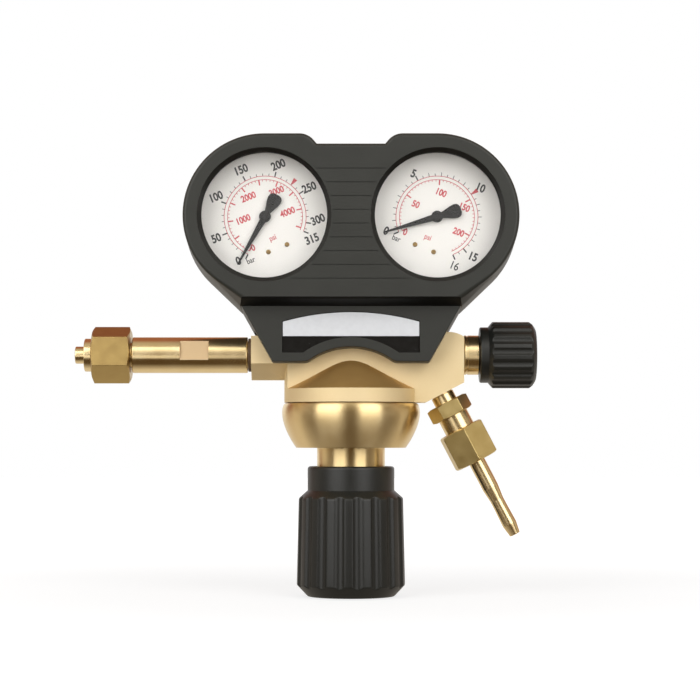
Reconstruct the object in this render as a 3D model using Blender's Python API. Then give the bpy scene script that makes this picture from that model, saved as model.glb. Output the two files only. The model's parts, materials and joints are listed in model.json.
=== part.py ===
"""Nitrous oxide regulator: inlet stem, brass body, adjusting knob below, two gauges in a
moulded cover above, shut-off valve at the right and a hose outlet slanting down.

Metres, +Z up, +X towards the shut-off valve, +Y away from the dials. The origin is the tip of
the inlet nose, on the inlet's axis. Most sizes are measured from the body centre, where the
inlet's axis crosses the upright axis of the diaphragm and knob.
"""
import math

import bmesh
import bpy
from mathutils import Matrix, Vector

# Clearances, and how far a cutter reaches past the surface that it opens
GAP = 0.0003
FINE_GAP = 0.00015
OVERSHOOT = 0.001

# Facets round a turned piece, by its size
LARGE_STEPS = 28
GAUGE_STEPS = 24
MIDDLE_STEPS = 16
SMALL_STEPS = 12
TINY_STEPS = 8
FLUTE_SIDES = 8

# Body: a flat-sided block with a turned skirt below it
BODY_HALF_DEPTH = 0.0097
BODY_CORE_RADIUS = 0.0297
BODY_BOTTOM = -0.0212
SKIRT_TOP = -0.0148
CONE_TOP = -0.0007
CONE_TOP_RADIUS = 0.0082
CONE_SAG = 0.0009
BODY_TOP = 0.0082
INLET_ARM_REACH = 0.0442
INLET_ARM_BOTTOM = -0.0112
INLET_ARM_CHAMFER = 0.0072
OUTLET_ARM_REACH = 0.0500
OUTLET_ARM_TOP = 0.0099
OUTLET_ARM_ROUNDING = 0.0121
OUTLET_ARM_ROUNDED_LENGTH = 0.0068
HOSE_TILT = math.radians(27.5)
HOSE_FACE_X = 0.0405
HOSE_FACE_Z = -0.0174
HOSE_LUG_X = 0.0332

# Gas passages in the body
PASSAGE_RADIUS = 0.0020
SMALL_PASSAGE_RADIUS = 0.0015
LOW_PASSAGE_X = 0.0150
LOW_CHAMBER_RADIUS = 0.0200
LOW_CHAMBER_HEIGHT = 0.0030

# Diaphragm stack and bonnet
DIAPHRAGM_SEAT = -0.0170
DIAPHRAGM_RADIUS = 0.0248
DIAPHRAGM_THICKNESS = 0.0008
SLIP_RING_WIDTH = 0.0042
SLIP_RING_THICKNESS = 0.0008
PLATE_RADIUS = 0.0165
PLATE_THICKNESS = 0.0024
BOWL_RADIUS = 0.03075
BOWL_BOTTOM = -0.0413
BOWL_BOTTOM_RADIUS = 0.0244
BOWL_WALL = 0.0032
BOWL_SHOULDER_HEIGHT = 0.0042
BOWL_SHOULDER_WIDTH = 0.0016
NECK_RADIUS = 0.0151
NECK_LENGTH = 0.0147
SPRING_RADIUS = 0.0135
SPRING_WIRE_RADIUS = 0.0012
SPRING_TURNS = 3.5
SPRING_DISC_RADIUS = 0.0160
SPRING_DISC_THICKNESS = 0.0024

# Seat and poppet
SEAT_RADIUS = 0.0068
SEAT_LENGTH = 0.0076
SEAT_HOLE_RADIUS = 0.0016
HIGH_CHAMBER_RADIUS = 0.0050
HIGH_CHAMBER_TOP = 0.0052
POPPET_RADIUS = 0.0034
POPPET_LENGTH = 0.0062
POPPET_PIN_RADIUS = 0.0009
POPPET_SPRING_RADIUS = 0.0024
POPPET_SPRING_WIRE = 0.0003
SMALL_SPRING_TURNS = 3.0

# Adjusting spindle and knob
SPINDLE_RADIUS = 0.0059
SPINDLE_DRIVE_RADIUS = 0.0044
SPINDLE_DRIVE_LENGTH = 0.0280
KNOB_BOWL_DISTANCE = 0.0082
KNOB_COLLAR_RADIUS = 0.0193
KNOB_COLLAR_HEIGHT = 0.0107
KNOB_SHOULDER_HEIGHT = 0.0036
KNOB_GRIP_HEIGHT = 0.0383
KNOB_GRIP_RADIUS = 0.0233
KNOB_GRIP_FLARE = 0.0008
KNOB_CHAMFER_HEIGHT = 0.0049
KNOB_CHAMFER_WIDTH = 0.0047
KNOB_CAVITY_DEPTH = 0.0220
KNOB_FLUTES = 18
KNOB_FLUTE_RADIUS = 0.0026
KNOB_FLUTE_DEPTH = 0.0011
KNOB_FLUTE_PHASE = math.radians(7.5)
KNOB_CAP_RADIUS = 0.0170
KNOB_CAP_THICKNESS = 0.0025
KNOB_SCREW_RADIUS = 0.0020
KNOB_SCREW_HEAD_RADIUS = 0.0040
KNOB_SCREW_HEAD_HEIGHT = 0.0028
KNOB_SCREW_LENGTH = 0.0110
KNOB_WEB = 0.0025

# Inlet
WASHER_THICKNESS = 0.0012
TUBE_LENGTH = 0.0513
TUBE_RADIUS = 0.00803
TUBE_FLATS_FROM_BODY = 0.0190
TUBE_FLATS_LENGTH = 0.0127
TUBE_FLATS_ACROSS = 0.0134
TUBE_FLATS_TURN = math.radians(16.0)
TUBE_SPIGOT_RADIUS = 0.0060
TUBE_SPIGOT_LENGTH = 0.0095
NIPPLE_SPIGOT_RADIUS = 0.0048
NIPPLE_SPIGOT_LENGTH = 0.0090
NIPPLE_NECK_RADIUS = 0.0055
NUT_LENGTH = 0.0175
NUT_FLATS = 0.0222
NUT_TURN = math.radians(10.9)
NUT_BACK_WALL = 0.0040
NUT_THREAD_RADIUS = 0.0078
COLLAR_LENGTH = 0.0033
COLLAR_RADIUS = 0.0074
NOSE_LENGTH = 0.0042
NOSE_RADIUS = 0.00385
NOSE_BORE_RADIUS = 0.0018
FILTER_RADIUS = 0.0029
FILTER_LENGTH = 0.0095
THRUST_WASHER_THICKNESS = 0.0012

# Shut-off valve
VALVE_SEAT_X = 0.0310
VALVE_CHAMBER_RADIUS = 0.0045
VALVE_PAD_RADIUS = 0.0032
VALVE_PAD_THICKNESS = 0.0023
VALVE_SPINDLE_RADIUS = 0.0030
GLAND_SPIGOT_RADIUS = 0.0059
GLAND_SPIGOT_LENGTH = 0.0097
GLAND_RADIUS = 0.0088
GLAND_LENGTH = 0.0067
PACKING_THICKNESS = 0.0020
PACKING_WIDTH = 0.0017
VALVE_KNOB_COLLAR_RADIUS = 0.0124
VALVE_KNOB_COLLAR_LENGTH = 0.0037
VALVE_KNOB_SHOULDER = 0.0020
VALVE_KNOB_GRIP_RADIUS = 0.0148
VALVE_KNOB_GRIP_LENGTH = 0.0166
VALVE_KNOB_CHAMFER_LENGTH = 0.0026
VALVE_KNOB_CHAMFER_WIDTH = 0.0032
VALVE_KNOB_FLUTES = 18
VALVE_KNOB_FLUTE_RADIUS = 0.0017
VALVE_KNOB_FLUTE_DEPTH = 0.0008
VALVE_KNOB_FLUTE_PHASE = math.radians(6.0)
VALVE_CAP_RADIUS = 0.0088
VALVE_CAP_THICKNESS = 0.0018
VALVE_SCREW_RADIUS = 0.0015
VALVE_SCREW_HEAD_RADIUS = 0.0033
VALVE_SCREW_HEAD_HEIGHT = 0.0019
VALVE_SCREW_LENGTH = 0.0100
VALVE_WEB = 0.0016

# Hose outlet, along its own slanting axis from the slanting face
ADAPTER_SPIGOT_RADIUS = 0.0048
ADAPTER_SPIGOT_LENGTH = 0.0080
ADAPTER_BORE_RADIUS = 0.0025
ADAPTER_NECK_RADIUS = 0.00525
ADAPTER_NECK_LENGTH = 0.0051
ADAPTER_HEX_FLATS = 0.0169
ADAPTER_HEX_LENGTH = 0.0062
ADAPTER_THREAD_RADIUS = 0.0077
ADAPTER_THREAD_LENGTH = 0.0127
UNION_NUT_START = 0.0070
UNION_NUT_LENGTH = 0.0156
UNION_NUT_FLATS = 0.0191
UNION_NUT_TURN = math.radians(40.0)
UNION_NUT_END_WALL = 0.0034
HOSE_HEAD_RADIUS = 0.0073
HOSE_HEAD_LENGTH = 0.0057
HOSE_TAIL_RADIUS = 0.0037
HOSE_TAIL_LENGTH = 0.0184
HOSE_WAIST_RADIUS = 0.0029
HOSE_WAIST_LENGTH = 0.0076
HOSE_BARB_RADIUS = 0.00328
HOSE_BARB_LENGTH = 0.0087
HOSE_TIP_RADIUS = 0.0024
HOSE_TIP_LENGTH = 0.0051
HOSE_BORE_RADIUS = 0.0015

# Relief valve at the back of the body
RELIEF_X = 0.0240
RELIEF_BORE_RADIUS = 0.0038
RELIEF_BORE_DEPTH = 0.0067
RELIEF_HEAD_RADIUS = 0.0055
RELIEF_HEAD_LENGTH = 0.0036
RELIEF_DISC_RADIUS = 0.0022
RELIEF_DISC_THICKNESS = 0.0014
RELIEF_CAGE_RADIUS = 0.0027
RELIEF_VENT_RADIUS = 0.0012
RELIEF_LIFT = 0.0006
RELIEF_SPRING_RADIUS = 0.0016
RELIEF_SPRING_WIRE = 0.00025

# Gauges
GAUGE_SPREAD = 0.0068
GAUGE_LIFT = 0.0292
GAUGE_TILT = math.radians(22.0)
GAUGE_RADIUS = 0.0310
GAUGE_WALL = 0.0013
GAUGE_FRONT = -0.0249
GAUGE_BACK = 0.0090
WINDOW_THICKNESS = 0.0019
WINDOW_LEDGE = 0.0009
DIAL_FRONT = -0.0158
DIAL_THICKNESS = 0.0008
DIAL_CLEARANCE = 0.0026
POINTER_LIFT = 0.0012
POINTER_THICKNESS = 0.0006
POINTER_CLEARANCE = 0.0040
POINTER_TIP_WIDTH = 0.0004
POINTER_HUB_RADIUS = 0.0026
POINTER_TAIL_REACH = 0.0079
POINTER_TAIL_RADIUS = 0.0031
POINTER_REST_ANGLE = math.radians(51.5)
ARBOR_RADIUS = 0.0006
ARBOR_HOLE_RADIUS = 0.0009
MOVEMENT_PLATE_THICKNESS = 0.0010
MOVEMENT_DEPTH = 0.0076
MOVEMENT_HALF_WIDTH = 0.0080
MOVEMENT_TOP = 0.0060
PILLAR_RADIUS = 0.0012
GEAR_CENTRES = 0.0110
PINION_TEETH = 10
SECTOR_TEETH = 80
SECTOR_TEETH_CUT = 13
SECTOR_TEETH_PAST_REST = 2.5
SECTOR_BEARING = math.radians(195.0)
SECTOR_TAIL_REACH = 0.0070
SECTOR_TAIL_BEARING = math.radians(258.0)
SECTOR_THICKNESS = 0.0010
PINION_THICKNESS = 0.0018
SOCKET_HALF_WIDTH = 0.0068
SOCKET_BLOCK_TOP = -0.0152
SOCKET_NECK_RADIUS = 0.0068
SOCKET_SQUARE = 0.0140
SOCKET_SQUARE_LENGTH = 0.0100
SOCKET_THREAD_RADIUS = 0.0064
SOCKET_THREAD_LENGTH = 0.0125
TUBE_SPRING_CLEARANCE = 0.0080
TUBE_SPRING_HALF_WIDTH = 0.0030
TUBE_SPRING_HALF_THICKNESS = 0.0010
TUBE_SPRING_WALL = 0.0003
TUBE_SPRING_SWEEP = math.radians(240.0)
TUBE_SPRING_STEPS = 13
LINK_THICKNESS = 0.0006
LINK_HALF_WIDTH = 0.0011
TIP_LUG_HALF_WIDTH = 0.0011
GAUGE_BOSS_RADIUS = 0.0092

# Cover
COVER_FRONT = -0.0280
COVER_SPLIT = 0.0010
COVER_BACK = 0.0160
COVER_WALL = 0.0025
COVER_MARGIN = 0.0045
COVER_EDGE = 0.0025
COVER_DRAFT = 0.045
COVER_NOTCH_DEPTH = 0.0045
COVER_NOTCH_HALF_WIDTH = 0.0150
COVER_NOTCH_SLOPE = 0.0052
FRONT_LEDGE_Z = 0.0240
FRONT_LEDGE_HALF_WIDTH = 0.0476
LEDGE_Z = 0.0212
LEDGE_HALF_WIDTH = 0.0484
LABEL_PANEL_FRONT = -0.0190
LABEL_PANEL_EDGE = 0.0006
PANEL_SHOULDER_Z = 0.0213
PANEL_SHOULDER_HALF_WIDTH = 0.0483
PANEL_TOP_INDENT = 0.0040
PANEL_BOTTOM_Z = -0.0036
PANEL_BOTTOM_HALF_WIDTH = 0.0338
PANEL_ARCH_RADIUS = 0.0315
PANEL_ARCH_CENTRE_Z = -0.0286
OPENING_LIP = 0.0036
OPENING_BEVEL = 0.0010
RIB_CLEARANCE = 0.0024
RIB_COUNT = 9
RIB_TOP_MARGIN = 0.0097
RIB_BOTTOM_MARGIN = 0.0019
RIB_GROOVE_WIDTH = 0.0005
RIB_GROOVE_DEPTH = 0.0005
RECESS_DEPTH = 0.0014
RECESS_HALF_WIDTH = 0.0302
RECESS_SIDE_Z = 0.0142
RECESS_TOP_Z = 0.0184
RECESS_BOTTOM_Z = 0.0004
RECESS_ARCH_RADIUS = 0.0358
LABEL_BOTTOM_Z = 0.0076
LABEL_THICKNESS = 0.0008
BOSS_RADIUS = 0.0032
SCREW_RADIUS = 0.00125
SCREW_HEAD_RADIUS = 0.0027
SCREW_HEAD_HEIGHT = 0.0018
SCREW_LENGTH = 0.0200
SIDE_SCREW_X = 0.0385
SIDE_SCREW_Z = 0.0164
TOP_SCREW_DROP = 0.0117
CENTRE_SCREW_DROP = 0.0272

# Places worked out from the sizes above
TOP_OF_DIAPHRAGM = DIAPHRAGM_SEAT - GAP
TOP_OF_SLIP_RING = TOP_OF_DIAPHRAGM - DIAPHRAGM_THICKNESS - GAP
TOP_OF_SPIGOT = TOP_OF_SLIP_RING - SLIP_RING_THICKNESS - GAP
TOP_OF_PLATE = TOP_OF_DIAPHRAGM - DIAPHRAGM_THICKNESS - GAP
BOWL_FLOOR = BOWL_BOTTOM + BOWL_WALL
SPRING_DISC_BOTTOM = BOWL_FLOOR + GAP
SPINDLE_TOP = SPRING_DISC_BOTTOM - GAP
KNOB_TOP = BOWL_BOTTOM - KNOB_BOWL_DISTANCE
KNOB_SHOULDER = KNOB_TOP - KNOB_COLLAR_HEIGHT
KNOB_GRIP_TOP = KNOB_SHOULDER - KNOB_SHOULDER_HEIGHT
KNOB_GRIP_BOTTOM = KNOB_GRIP_TOP - KNOB_GRIP_HEIGHT
KNOB_BOTTOM = KNOB_GRIP_BOTTOM - KNOB_CHAMFER_HEIGHT
CAP_SEAT = KNOB_BOTTOM + KNOB_CAP_THICKNESS + GAP
KNOB_WEB_BOTTOM = CAP_SEAT + KNOB_SCREW_HEAD_HEIGHT + 2 * GAP
KNOB_WEB_TOP = KNOB_WEB_BOTTOM + KNOB_WEB
SPINDLE_BOTTOM = KNOB_WEB_TOP + GAP

SEAT_BOTTOM = DIAPHRAGM_SEAT + LOW_CHAMBER_HEIGHT
SEAT_TOP = SEAT_BOTTOM + SEAT_LENGTH
POPPET_BOTTOM = SEAT_TOP + GAP
POPPET_TOP = POPPET_BOTTOM + POPPET_LENGTH

WASHER_LEFT = -INLET_ARM_REACH - GAP - WASHER_THICKNESS
TUBE_RIGHT = WASHER_LEFT - GAP
TUBE_LEFT = TUBE_RIGHT - TUBE_LENGTH
NUT_RIGHT = TUBE_LEFT - GAP
NUT_LEFT = NUT_RIGHT - NUT_LENGTH
COLLAR_RIGHT = NUT_LEFT - GAP
COLLAR_LEFT = COLLAR_RIGHT - COLLAR_LENGTH
NOSE_TIP = COLLAR_LEFT - NOSE_LENGTH

PAD_LEFT = VALVE_SEAT_X + GAP
VALVE_SPINDLE_TIP = PAD_LEFT + VALVE_PAD_THICKNESS + GAP
GLAND_LEFT = OUTLET_ARM_REACH + GAP
GLAND_RIGHT = GLAND_LEFT + GLAND_LENGTH
VALVE_KNOB_LEFT = GLAND_RIGHT + GAP
VALVE_GRIP_LEFT = VALVE_KNOB_LEFT + VALVE_KNOB_COLLAR_LENGTH + VALVE_KNOB_SHOULDER
VALVE_GRIP_RIGHT = VALVE_GRIP_LEFT + VALVE_KNOB_GRIP_LENGTH
VALVE_KNOB_RIGHT = VALVE_GRIP_RIGHT + VALVE_KNOB_CHAMFER_LENGTH
VALVE_CAP_SEAT = VALVE_KNOB_RIGHT - VALVE_CAP_THICKNESS - GAP
VALVE_WEB_RIGHT = VALVE_CAP_SEAT - VALVE_SCREW_HEAD_HEIGHT - 2 * GAP
VALVE_SPINDLE_END = VALVE_WEB_RIGHT - VALVE_WEB - GAP

HEX_START = ADAPTER_NECK_LENGTH
THREAD_START = HEX_START + ADAPTER_HEX_LENGTH
UNION_START = THREAD_START + UNION_NUT_START
UNION_END = UNION_START + UNION_NUT_LENGTH
HOSE_HEAD_START = THREAD_START + ADAPTER_THREAD_LENGTH + GAP
HOSE_HEAD_END = UNION_END - UNION_NUT_END_WALL - GAP

GAUGE_X = GAUGE_RADIUS + GAUGE_SPREAD
GAUGE_Z = GAUGE_RADIUS + GAUGE_LIFT
GAUGE_DISTANCE = GAUGE_Z / math.cos(GAUGE_TILT)
DIAL_RADIUS = GAUGE_RADIUS - DIAL_CLEARANCE
POINTER_REACH = DIAL_RADIUS - POINTER_CLEARANCE
TUBE_SPRING_RADIUS = GAUGE_RADIUS - TUBE_SPRING_CLEARANCE
MOVEMENT_FOOT = -TUBE_SPRING_RADIUS
SOCKET_SQUARE_TOP = -(GAUGE_RADIUS + GAP)
SOCKET_SQUARE_BOTTOM = SOCKET_SQUARE_TOP - SOCKET_SQUARE_LENGTH
SOCKET_BOTTOM = SOCKET_SQUARE_BOTTOM - SOCKET_THREAD_LENGTH
DIAL_BACK = DIAL_FRONT + DIAL_THICKNESS
MOVEMENT_FRONT = DIAL_BACK + GAP
MOVEMENT_BACK = MOVEMENT_FRONT + MOVEMENT_DEPTH
GEAR_MODULE = 2 * GEAR_CENTRES / (PINION_TEETH + SECTOR_TEETH)
PINION_RADIUS = GEAR_MODULE * PINION_TEETH / 2
SECTOR_RADIUS = GEAR_MODULE * SECTOR_TEETH / 2
GEAR_PLANE = MOVEMENT_FRONT + MOVEMENT_DEPTH / 2
COVER_RADIUS = GAUGE_RADIUS + COVER_MARGIN
COVER_TOP = GAUGE_Z + COVER_RADIUS
WINDOW_OPENING_RADIUS = GAUGE_RADIUS - OPENING_LIP
RIB_CLEAR_RADIUS = WINDOW_OPENING_RADIUS + RIB_CLEARANCE
RIB_TOP_Z = GAUGE_Z + RIB_CLEAR_RADIUS - RIB_TOP_MARGIN
RIB_BOTTOM_Z = GAUGE_Z - RIB_CLEAR_RADIUS + RIB_BOTTOM_MARGIN
RIB_PITCH = (RIB_TOP_Z - RIB_BOTTOM_Z) / (RIB_COUNT - 1)
TOP_SCREW_Z = COVER_TOP - TOP_SCREW_DROP
CENTRE_SCREW_Z = GAUGE_Z - CENTRE_SCREW_DROP
LINK_FRONT = GEAR_PLANE + SECTOR_THICKNESS / 2 + GAP
LINK_BACK = LINK_FRONT + LINK_THICKNESS

ALONG_X = Matrix.Rotation(math.radians(90), 4, 'Y')
ALONG_Y = Matrix.Rotation(math.radians(-90), 4, 'X')
UPRIGHT = Matrix()
FACING = Matrix.Rotation(math.radians(90), 4, 'X')


def clear_scene():
    for old in list(bpy.data.objects):
        bpy.data.objects.remove(old, do_unlink=True)


def finish(name, colour, roughness, metallic=0.0, alpha=1.0):
    made = bpy.data.materials.new(name)
    made.use_nodes = True
    shader = made.node_tree.nodes["Principled BSDF"]
    shader.inputs["Base Color"].default_value = (*colour, 1.0)
    shader.inputs["Roughness"].default_value = roughness
    shader.inputs["Metallic"].default_value = metallic
    shader.inputs["Alpha"].default_value = alpha
    return made


def empty(name, parent=None, matrix=UPRIGHT):
    made = bpy.data.objects.new(name, None)
    bpy.context.collection.objects.link(made)
    made.parent = parent
    made.matrix_local = matrix
    return made


def place(name, shape, look, parent, matrix=UPRIGHT):
    """Turn a bmesh into a named object under its parent."""
    bmesh.ops.recalc_face_normals(shape, faces=shape.faces)
    mesh = bpy.data.meshes.new(name)
    shape.to_mesh(mesh)
    shape.free()
    mesh.shade_smooth()
    mesh.set_sharp_from_angle(angle=math.radians(32))
    if look:
        mesh.materials.append(look)
    made = bpy.data.objects.new(name, mesh)
    bpy.context.collection.objects.link(made)
    made.parent = parent
    made.matrix_local = matrix
    return made


def turned(profile, steps=MIDDLE_STEPS):
    """Spin (distance, radius) points round Z. A profile that starts and ends on the axis
    makes a solid piece; any other is closed and leaves a hole through."""
    shape = bmesh.new()
    points = [shape.verts.new((radius, 0.0, distance)) for distance, radius in profile]
    lines = [shape.edges.new(pair) for pair in zip(points, points[1:])]
    solid = profile[0][1] == 0.0 and profile[-1][1] == 0.0
    if not solid:
        lines.append(shape.edges.new((points[-1], points[0])))
    bmesh.ops.spin(shape, geom=points + lines, cent=(0, 0, 0), axis=(0, 0, 1),
                   angle=2 * math.pi, steps=steps, use_merge=True)
    bmesh.ops.remove_doubles(shape, verts=shape.verts, dist=1e-7)
    return shape


def gathered(turnings, steps):
    """Several turned shapes, given as (profile, spot), in one."""
    whole = bmesh.new()
    for profile, spot in turnings:
        one = turned(profile, steps)
        bmesh.ops.transform(one, matrix=spot, verts=one.verts)
        mesh = bpy.data.meshes.new("guide")
        one.to_mesh(mesh)
        one.free()
        whole.from_mesh(mesh)
        bpy.data.meshes.remove(mesh)
    return whole


def prism(outline, low, high):
    """Extrude an outline in the XY plane from low to high."""
    shape = bmesh.new()
    base = shape.faces.new([shape.verts.new((x, y, low)) for x, y in outline])
    grown = bmesh.ops.extrude_face_region(shape, geom=[base])
    top = [item for item in grown["geom"] if isinstance(item, bmesh.types.BMVert)]
    bmesh.ops.translate(shape, verts=top, vec=(0, 0, high - low))
    return shape


def panel(outline, front, back):
    """An upright panel: an outline in X and Z, from Y = front to Y = back once it is placed
    with FACING."""
    return prism(outline, -back, -front)


def circle(radius, steps, centre=(0.0, 0.0), start=0.0, sweep=2 * math.pi):
    """Points on a circle; an open arc keeps both ends."""
    whole = abs(sweep) > 2 * math.pi - 1e-6
    count = steps if whole else steps + 1
    return [(centre[0] + radius * math.cos(start + sweep * index / steps),
             centre[1] + radius * math.sin(start + sweep * index / steps))
            for index in range(count)]


def hexagon(across_flats, turn):
    corner = across_flats / 2 / math.cos(math.radians(30))
    return circle(corner, 6, start=turn)


def inset(outline, distance):
    """Move every side of a counter-clockwise outline inwards by one distance."""
    moved = []
    count = len(outline)
    for index, (x, y) in enumerate(outline):
        here = Vector((x, y))
        into = (here - Vector(outline[index - 1])).normalized()
        out = (Vector(outline[(index + 1) % count]) - here).normalized()
        side_in = Vector((-into.y, into.x))
        side_out = Vector((-out.y, out.x))
        middle = (side_in + side_out).normalized()
        moved.append(tuple(here + middle * distance / max(middle.dot(side_in), 0.4)))
    return moved


def combine(target, other, operation='DIFFERENCE'):
    """Join, cut or cross the target with another object, which stays a hidden guide."""
    step = target.modifiers.new(other.name, 'BOOLEAN')
    step.operation = operation
    step.solver = 'EXACT'
    step.object = other
    other.hide_render = True
    other.display_type = 'WIRE'


def drill(target, name, profile, matrix, parent, steps=SMALL_STEPS):
    combine(target, place(name, turned(profile, steps), None, parent, matrix))


def hex_piece(name, look, parent, matrix, across_flats, turn, low, high):
    """A hexagonal bar with turned, chamfered ends."""
    bar = place(name, prism(hexagon(across_flats, turn), low, high), look, parent, matrix)
    corner = across_flats / 2 / math.cos(math.radians(30)) + GAP
    flat = across_flats / 2 * 0.985
    slope = (corner - flat) * math.tan(math.radians(30))
    start = [(low - GAP, 0.0), (low - GAP, flat), (low, flat), (low + slope, corner)]
    end = [(high - slope, corner), (high, flat), (high + GAP, flat), (high + GAP, 0.0)]
    guide = place(name + "_turning", turned(start + end, SMALL_STEPS), None, parent, matrix)
    combine(bar, guide, 'INTERSECT')
    return bar


def coil(radius, wire, turns, low, high, steps_per_turn=8):
    """The centre line of a compression spring standing along Z."""
    count = int(turns * steps_per_turn)
    start = low + wire
    rise = high - low - 2 * wire
    return [Vector((radius * math.cos(2 * math.pi * turns * index / count),
                    radius * math.sin(2 * math.pi * turns * index / count),
                    start + rise * index / count)) for index in range(count + 1)]


def coil_spring(radius, wire, turns, low, high, sides=4):
    """A round wire bent into an upright coil."""
    shape = bmesh.new()
    path = coil(radius, wire, turns, low, high)
    rings = []
    for index, point in enumerate(path):
        before = path[max(index - 1, 0)]
        after = path[min(index + 1, len(path) - 1)]
        heading = (after - before).normalized()
        outward = Vector((point.x, point.y, 0)).normalized()
        upward = heading.cross(outward).normalized()
        rings.append([shape.verts.new(point + outward * a + upward * b)
                      for a, b in circle(wire, sides)])
    for ring, following in zip(rings, rings[1:]):
        for index in range(sides):
            nearby = (index + 1) % sides
            shape.faces.new((ring[index], ring[nearby], following[nearby], following[index]))
    shape.faces.new(rings[0])
    shape.faces.new(rings[-1])
    return shape


def cone_point(share):
    """A point on the skirt's cone, from its foot (0) to its top (1), slightly hollow."""
    z = SKIRT_TOP + (CONE_TOP - SKIRT_TOP) * share
    radius = BODY_CORE_RADIUS + (CONE_TOP_RADIUS - BODY_CORE_RADIUS) * share
    return (z - CONE_SAG * math.sin(math.pi * share), radius)


def truncated_circle():
    """The block's plan: a circle with flat front and back."""
    half = math.asin(BODY_HALF_DEPTH / BODY_CORE_RADIUS)
    right = circle(BODY_CORE_RADIUS, 4, start=-half, sweep=2 * half)
    left = circle(BODY_CORE_RADIUS, 4, start=math.pi - half, sweep=2 * half)
    return right + left


def hose_face_z(x):
    """Height of the slanting face at a distance from the body centre."""
    return HOSE_FACE_Z + (x - HOSE_FACE_X) * math.tan(HOSE_TILT)


def make_body(frame, hose_axis, gauges):
    cone = [cone_point(index / 3) for index in range(4)]
    skirt = [(BODY_BOTTOM, 0.0), (BODY_BOTTOM, BODY_CORE_RADIUS)] + cone + [(CONE_TOP, 0.0)]
    body = place("regulator_body", turned(skirt, LARGE_STEPS), brass, frame)

    core = place("body_core", prism(truncated_circle(), BODY_BOTTOM, BODY_TOP), None, frame)
    combine(body, core, 'UNION')

    chamfer_z = INLET_ARM_BOTTOM + INLET_ARM_CHAMFER
    narrow = BODY_HALF_DEPTH - INLET_ARM_CHAMFER
    arm_section = [(BODY_TOP, -BODY_HALF_DEPTH), (BODY_TOP, BODY_HALF_DEPTH),
                   (chamfer_z, BODY_HALF_DEPTH), (INLET_ARM_BOTTOM, narrow),
                   (INLET_ARM_BOTTOM, -narrow), (chamfer_z, -BODY_HALF_DEPTH)]
    arm_shape = prism([(-z, y) for z, y in arm_section], -INLET_ARM_REACH, -HIGH_CHAMBER_RADIUS)
    combine(body, place("body_inlet_arm", arm_shape, None, frame, ALONG_X), 'UNION')

    round_start = OUTLET_ARM_REACH - OUTLET_ARM_ROUNDED_LENGTH
    round_centre = (round_start, OUTLET_ARM_TOP - OUTLET_ARM_ROUNDING)
    round_angle = math.asin(OUTLET_ARM_ROUNDED_LENGTH / OUTLET_ARM_ROUNDING)
    block = [(0.0, OUTLET_ARM_TOP), (0.0, BODY_BOTTOM), (HOSE_LUG_X, BODY_BOTTOM),
             (HOSE_LUG_X, hose_face_z(HOSE_LUG_X)),
             (OUTLET_ARM_REACH, hose_face_z(OUTLET_ARM_REACH))]
    block += circle(OUTLET_ARM_ROUNDING, 4, round_centre, math.pi / 2 - round_angle, round_angle)
    block_shape = panel(block, -BODY_HALF_DEPTH, BODY_HALF_DEPTH)
    combine(body, place("body_outlet_arm", block_shape, None, frame, FACING), 'UNION')

    for side, gauge in gauges.items():
        boss = turned([(-GAUGE_DISTANCE, 0.0), (-GAUGE_DISTANCE, GAUGE_BOSS_RADIUS),
                       (SOCKET_SQUARE_BOTTOM - GAP, GAUGE_BOSS_RADIUS),
                       (SOCKET_SQUARE_BOTTOM - GAP, 0.0)], SMALL_STEPS)
        combine(body, place("body_boss_" + side, boss, None, gauge), 'UNION')

    diaphragm_hole = DIAPHRAGM_RADIUS + GAP
    below = BODY_BOTTOM - OVERSHOOT
    drill(body, "diaphragm_bore",
          [(below, 0.0), (below, diaphragm_hole), (DIAPHRAGM_SEAT, diaphragm_hole),
           (DIAPHRAGM_SEAT, LOW_CHAMBER_RADIUS), (SEAT_BOTTOM, LOW_CHAMBER_RADIUS),
           (SEAT_BOTTOM, SEAT_RADIUS + GAP), (SEAT_TOP + GAP, SEAT_RADIUS + GAP),
           (SEAT_TOP + GAP, HIGH_CHAMBER_RADIUS), (HIGH_CHAMBER_TOP, HIGH_CHAMBER_RADIUS),
           (HIGH_CHAMBER_TOP, 0.0)], UPRIGHT, frame, GAUGE_STEPS)

    outside = INLET_ARM_REACH + OVERSHOOT
    socket_end = INLET_ARM_REACH - TUBE_SPIGOT_LENGTH - GAP
    drill(body, "inlet_bore",
          [(-outside, 0.0), (-outside, TUBE_SPIGOT_RADIUS + GAP),
           (-socket_end, TUBE_SPIGOT_RADIUS + GAP), (-socket_end, PASSAGE_RADIUS),
           (-HIGH_CHAMBER_RADIUS / 2, PASSAGE_RADIUS), (-HIGH_CHAMBER_RADIUS / 2, 0.0)],
          ALONG_X, frame)

    outside = OUTLET_ARM_REACH + OVERSHOOT
    gland_end = OUTLET_ARM_REACH - GLAND_SPIGOT_LENGTH - GAP
    passage_start = LOW_PASSAGE_X - 2 * PASSAGE_RADIUS
    drill(body, "valve_bore",
          [(passage_start, 0.0), (passage_start, PASSAGE_RADIUS), (VALVE_SEAT_X, PASSAGE_RADIUS),
           (VALVE_SEAT_X, VALVE_CHAMBER_RADIUS), (gland_end, VALVE_CHAMBER_RADIUS),
           (gland_end, GLAND_SPIGOT_RADIUS + GAP), (outside, GLAND_SPIGOT_RADIUS + GAP),
           (outside, 0.0)], ALONG_X, frame)

    socket_depth = ADAPTER_SPIGOT_LENGTH + GAP
    inward = -(abs(HOSE_FACE_Z) - VALVE_CHAMBER_RADIUS * 0.8) / math.cos(HOSE_TILT)
    drill(body, "hose_bore",
          [(inward, 0.0), (inward, PASSAGE_RADIUS), (-socket_depth, PASSAGE_RADIUS),
           (-socket_depth, ADAPTER_SPIGOT_RADIUS + GAP),
           (OVERSHOOT, ADAPTER_SPIGOT_RADIUS + GAP), (OVERSHOOT, 0.0)], UPRIGHT, hose_axis)

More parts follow.
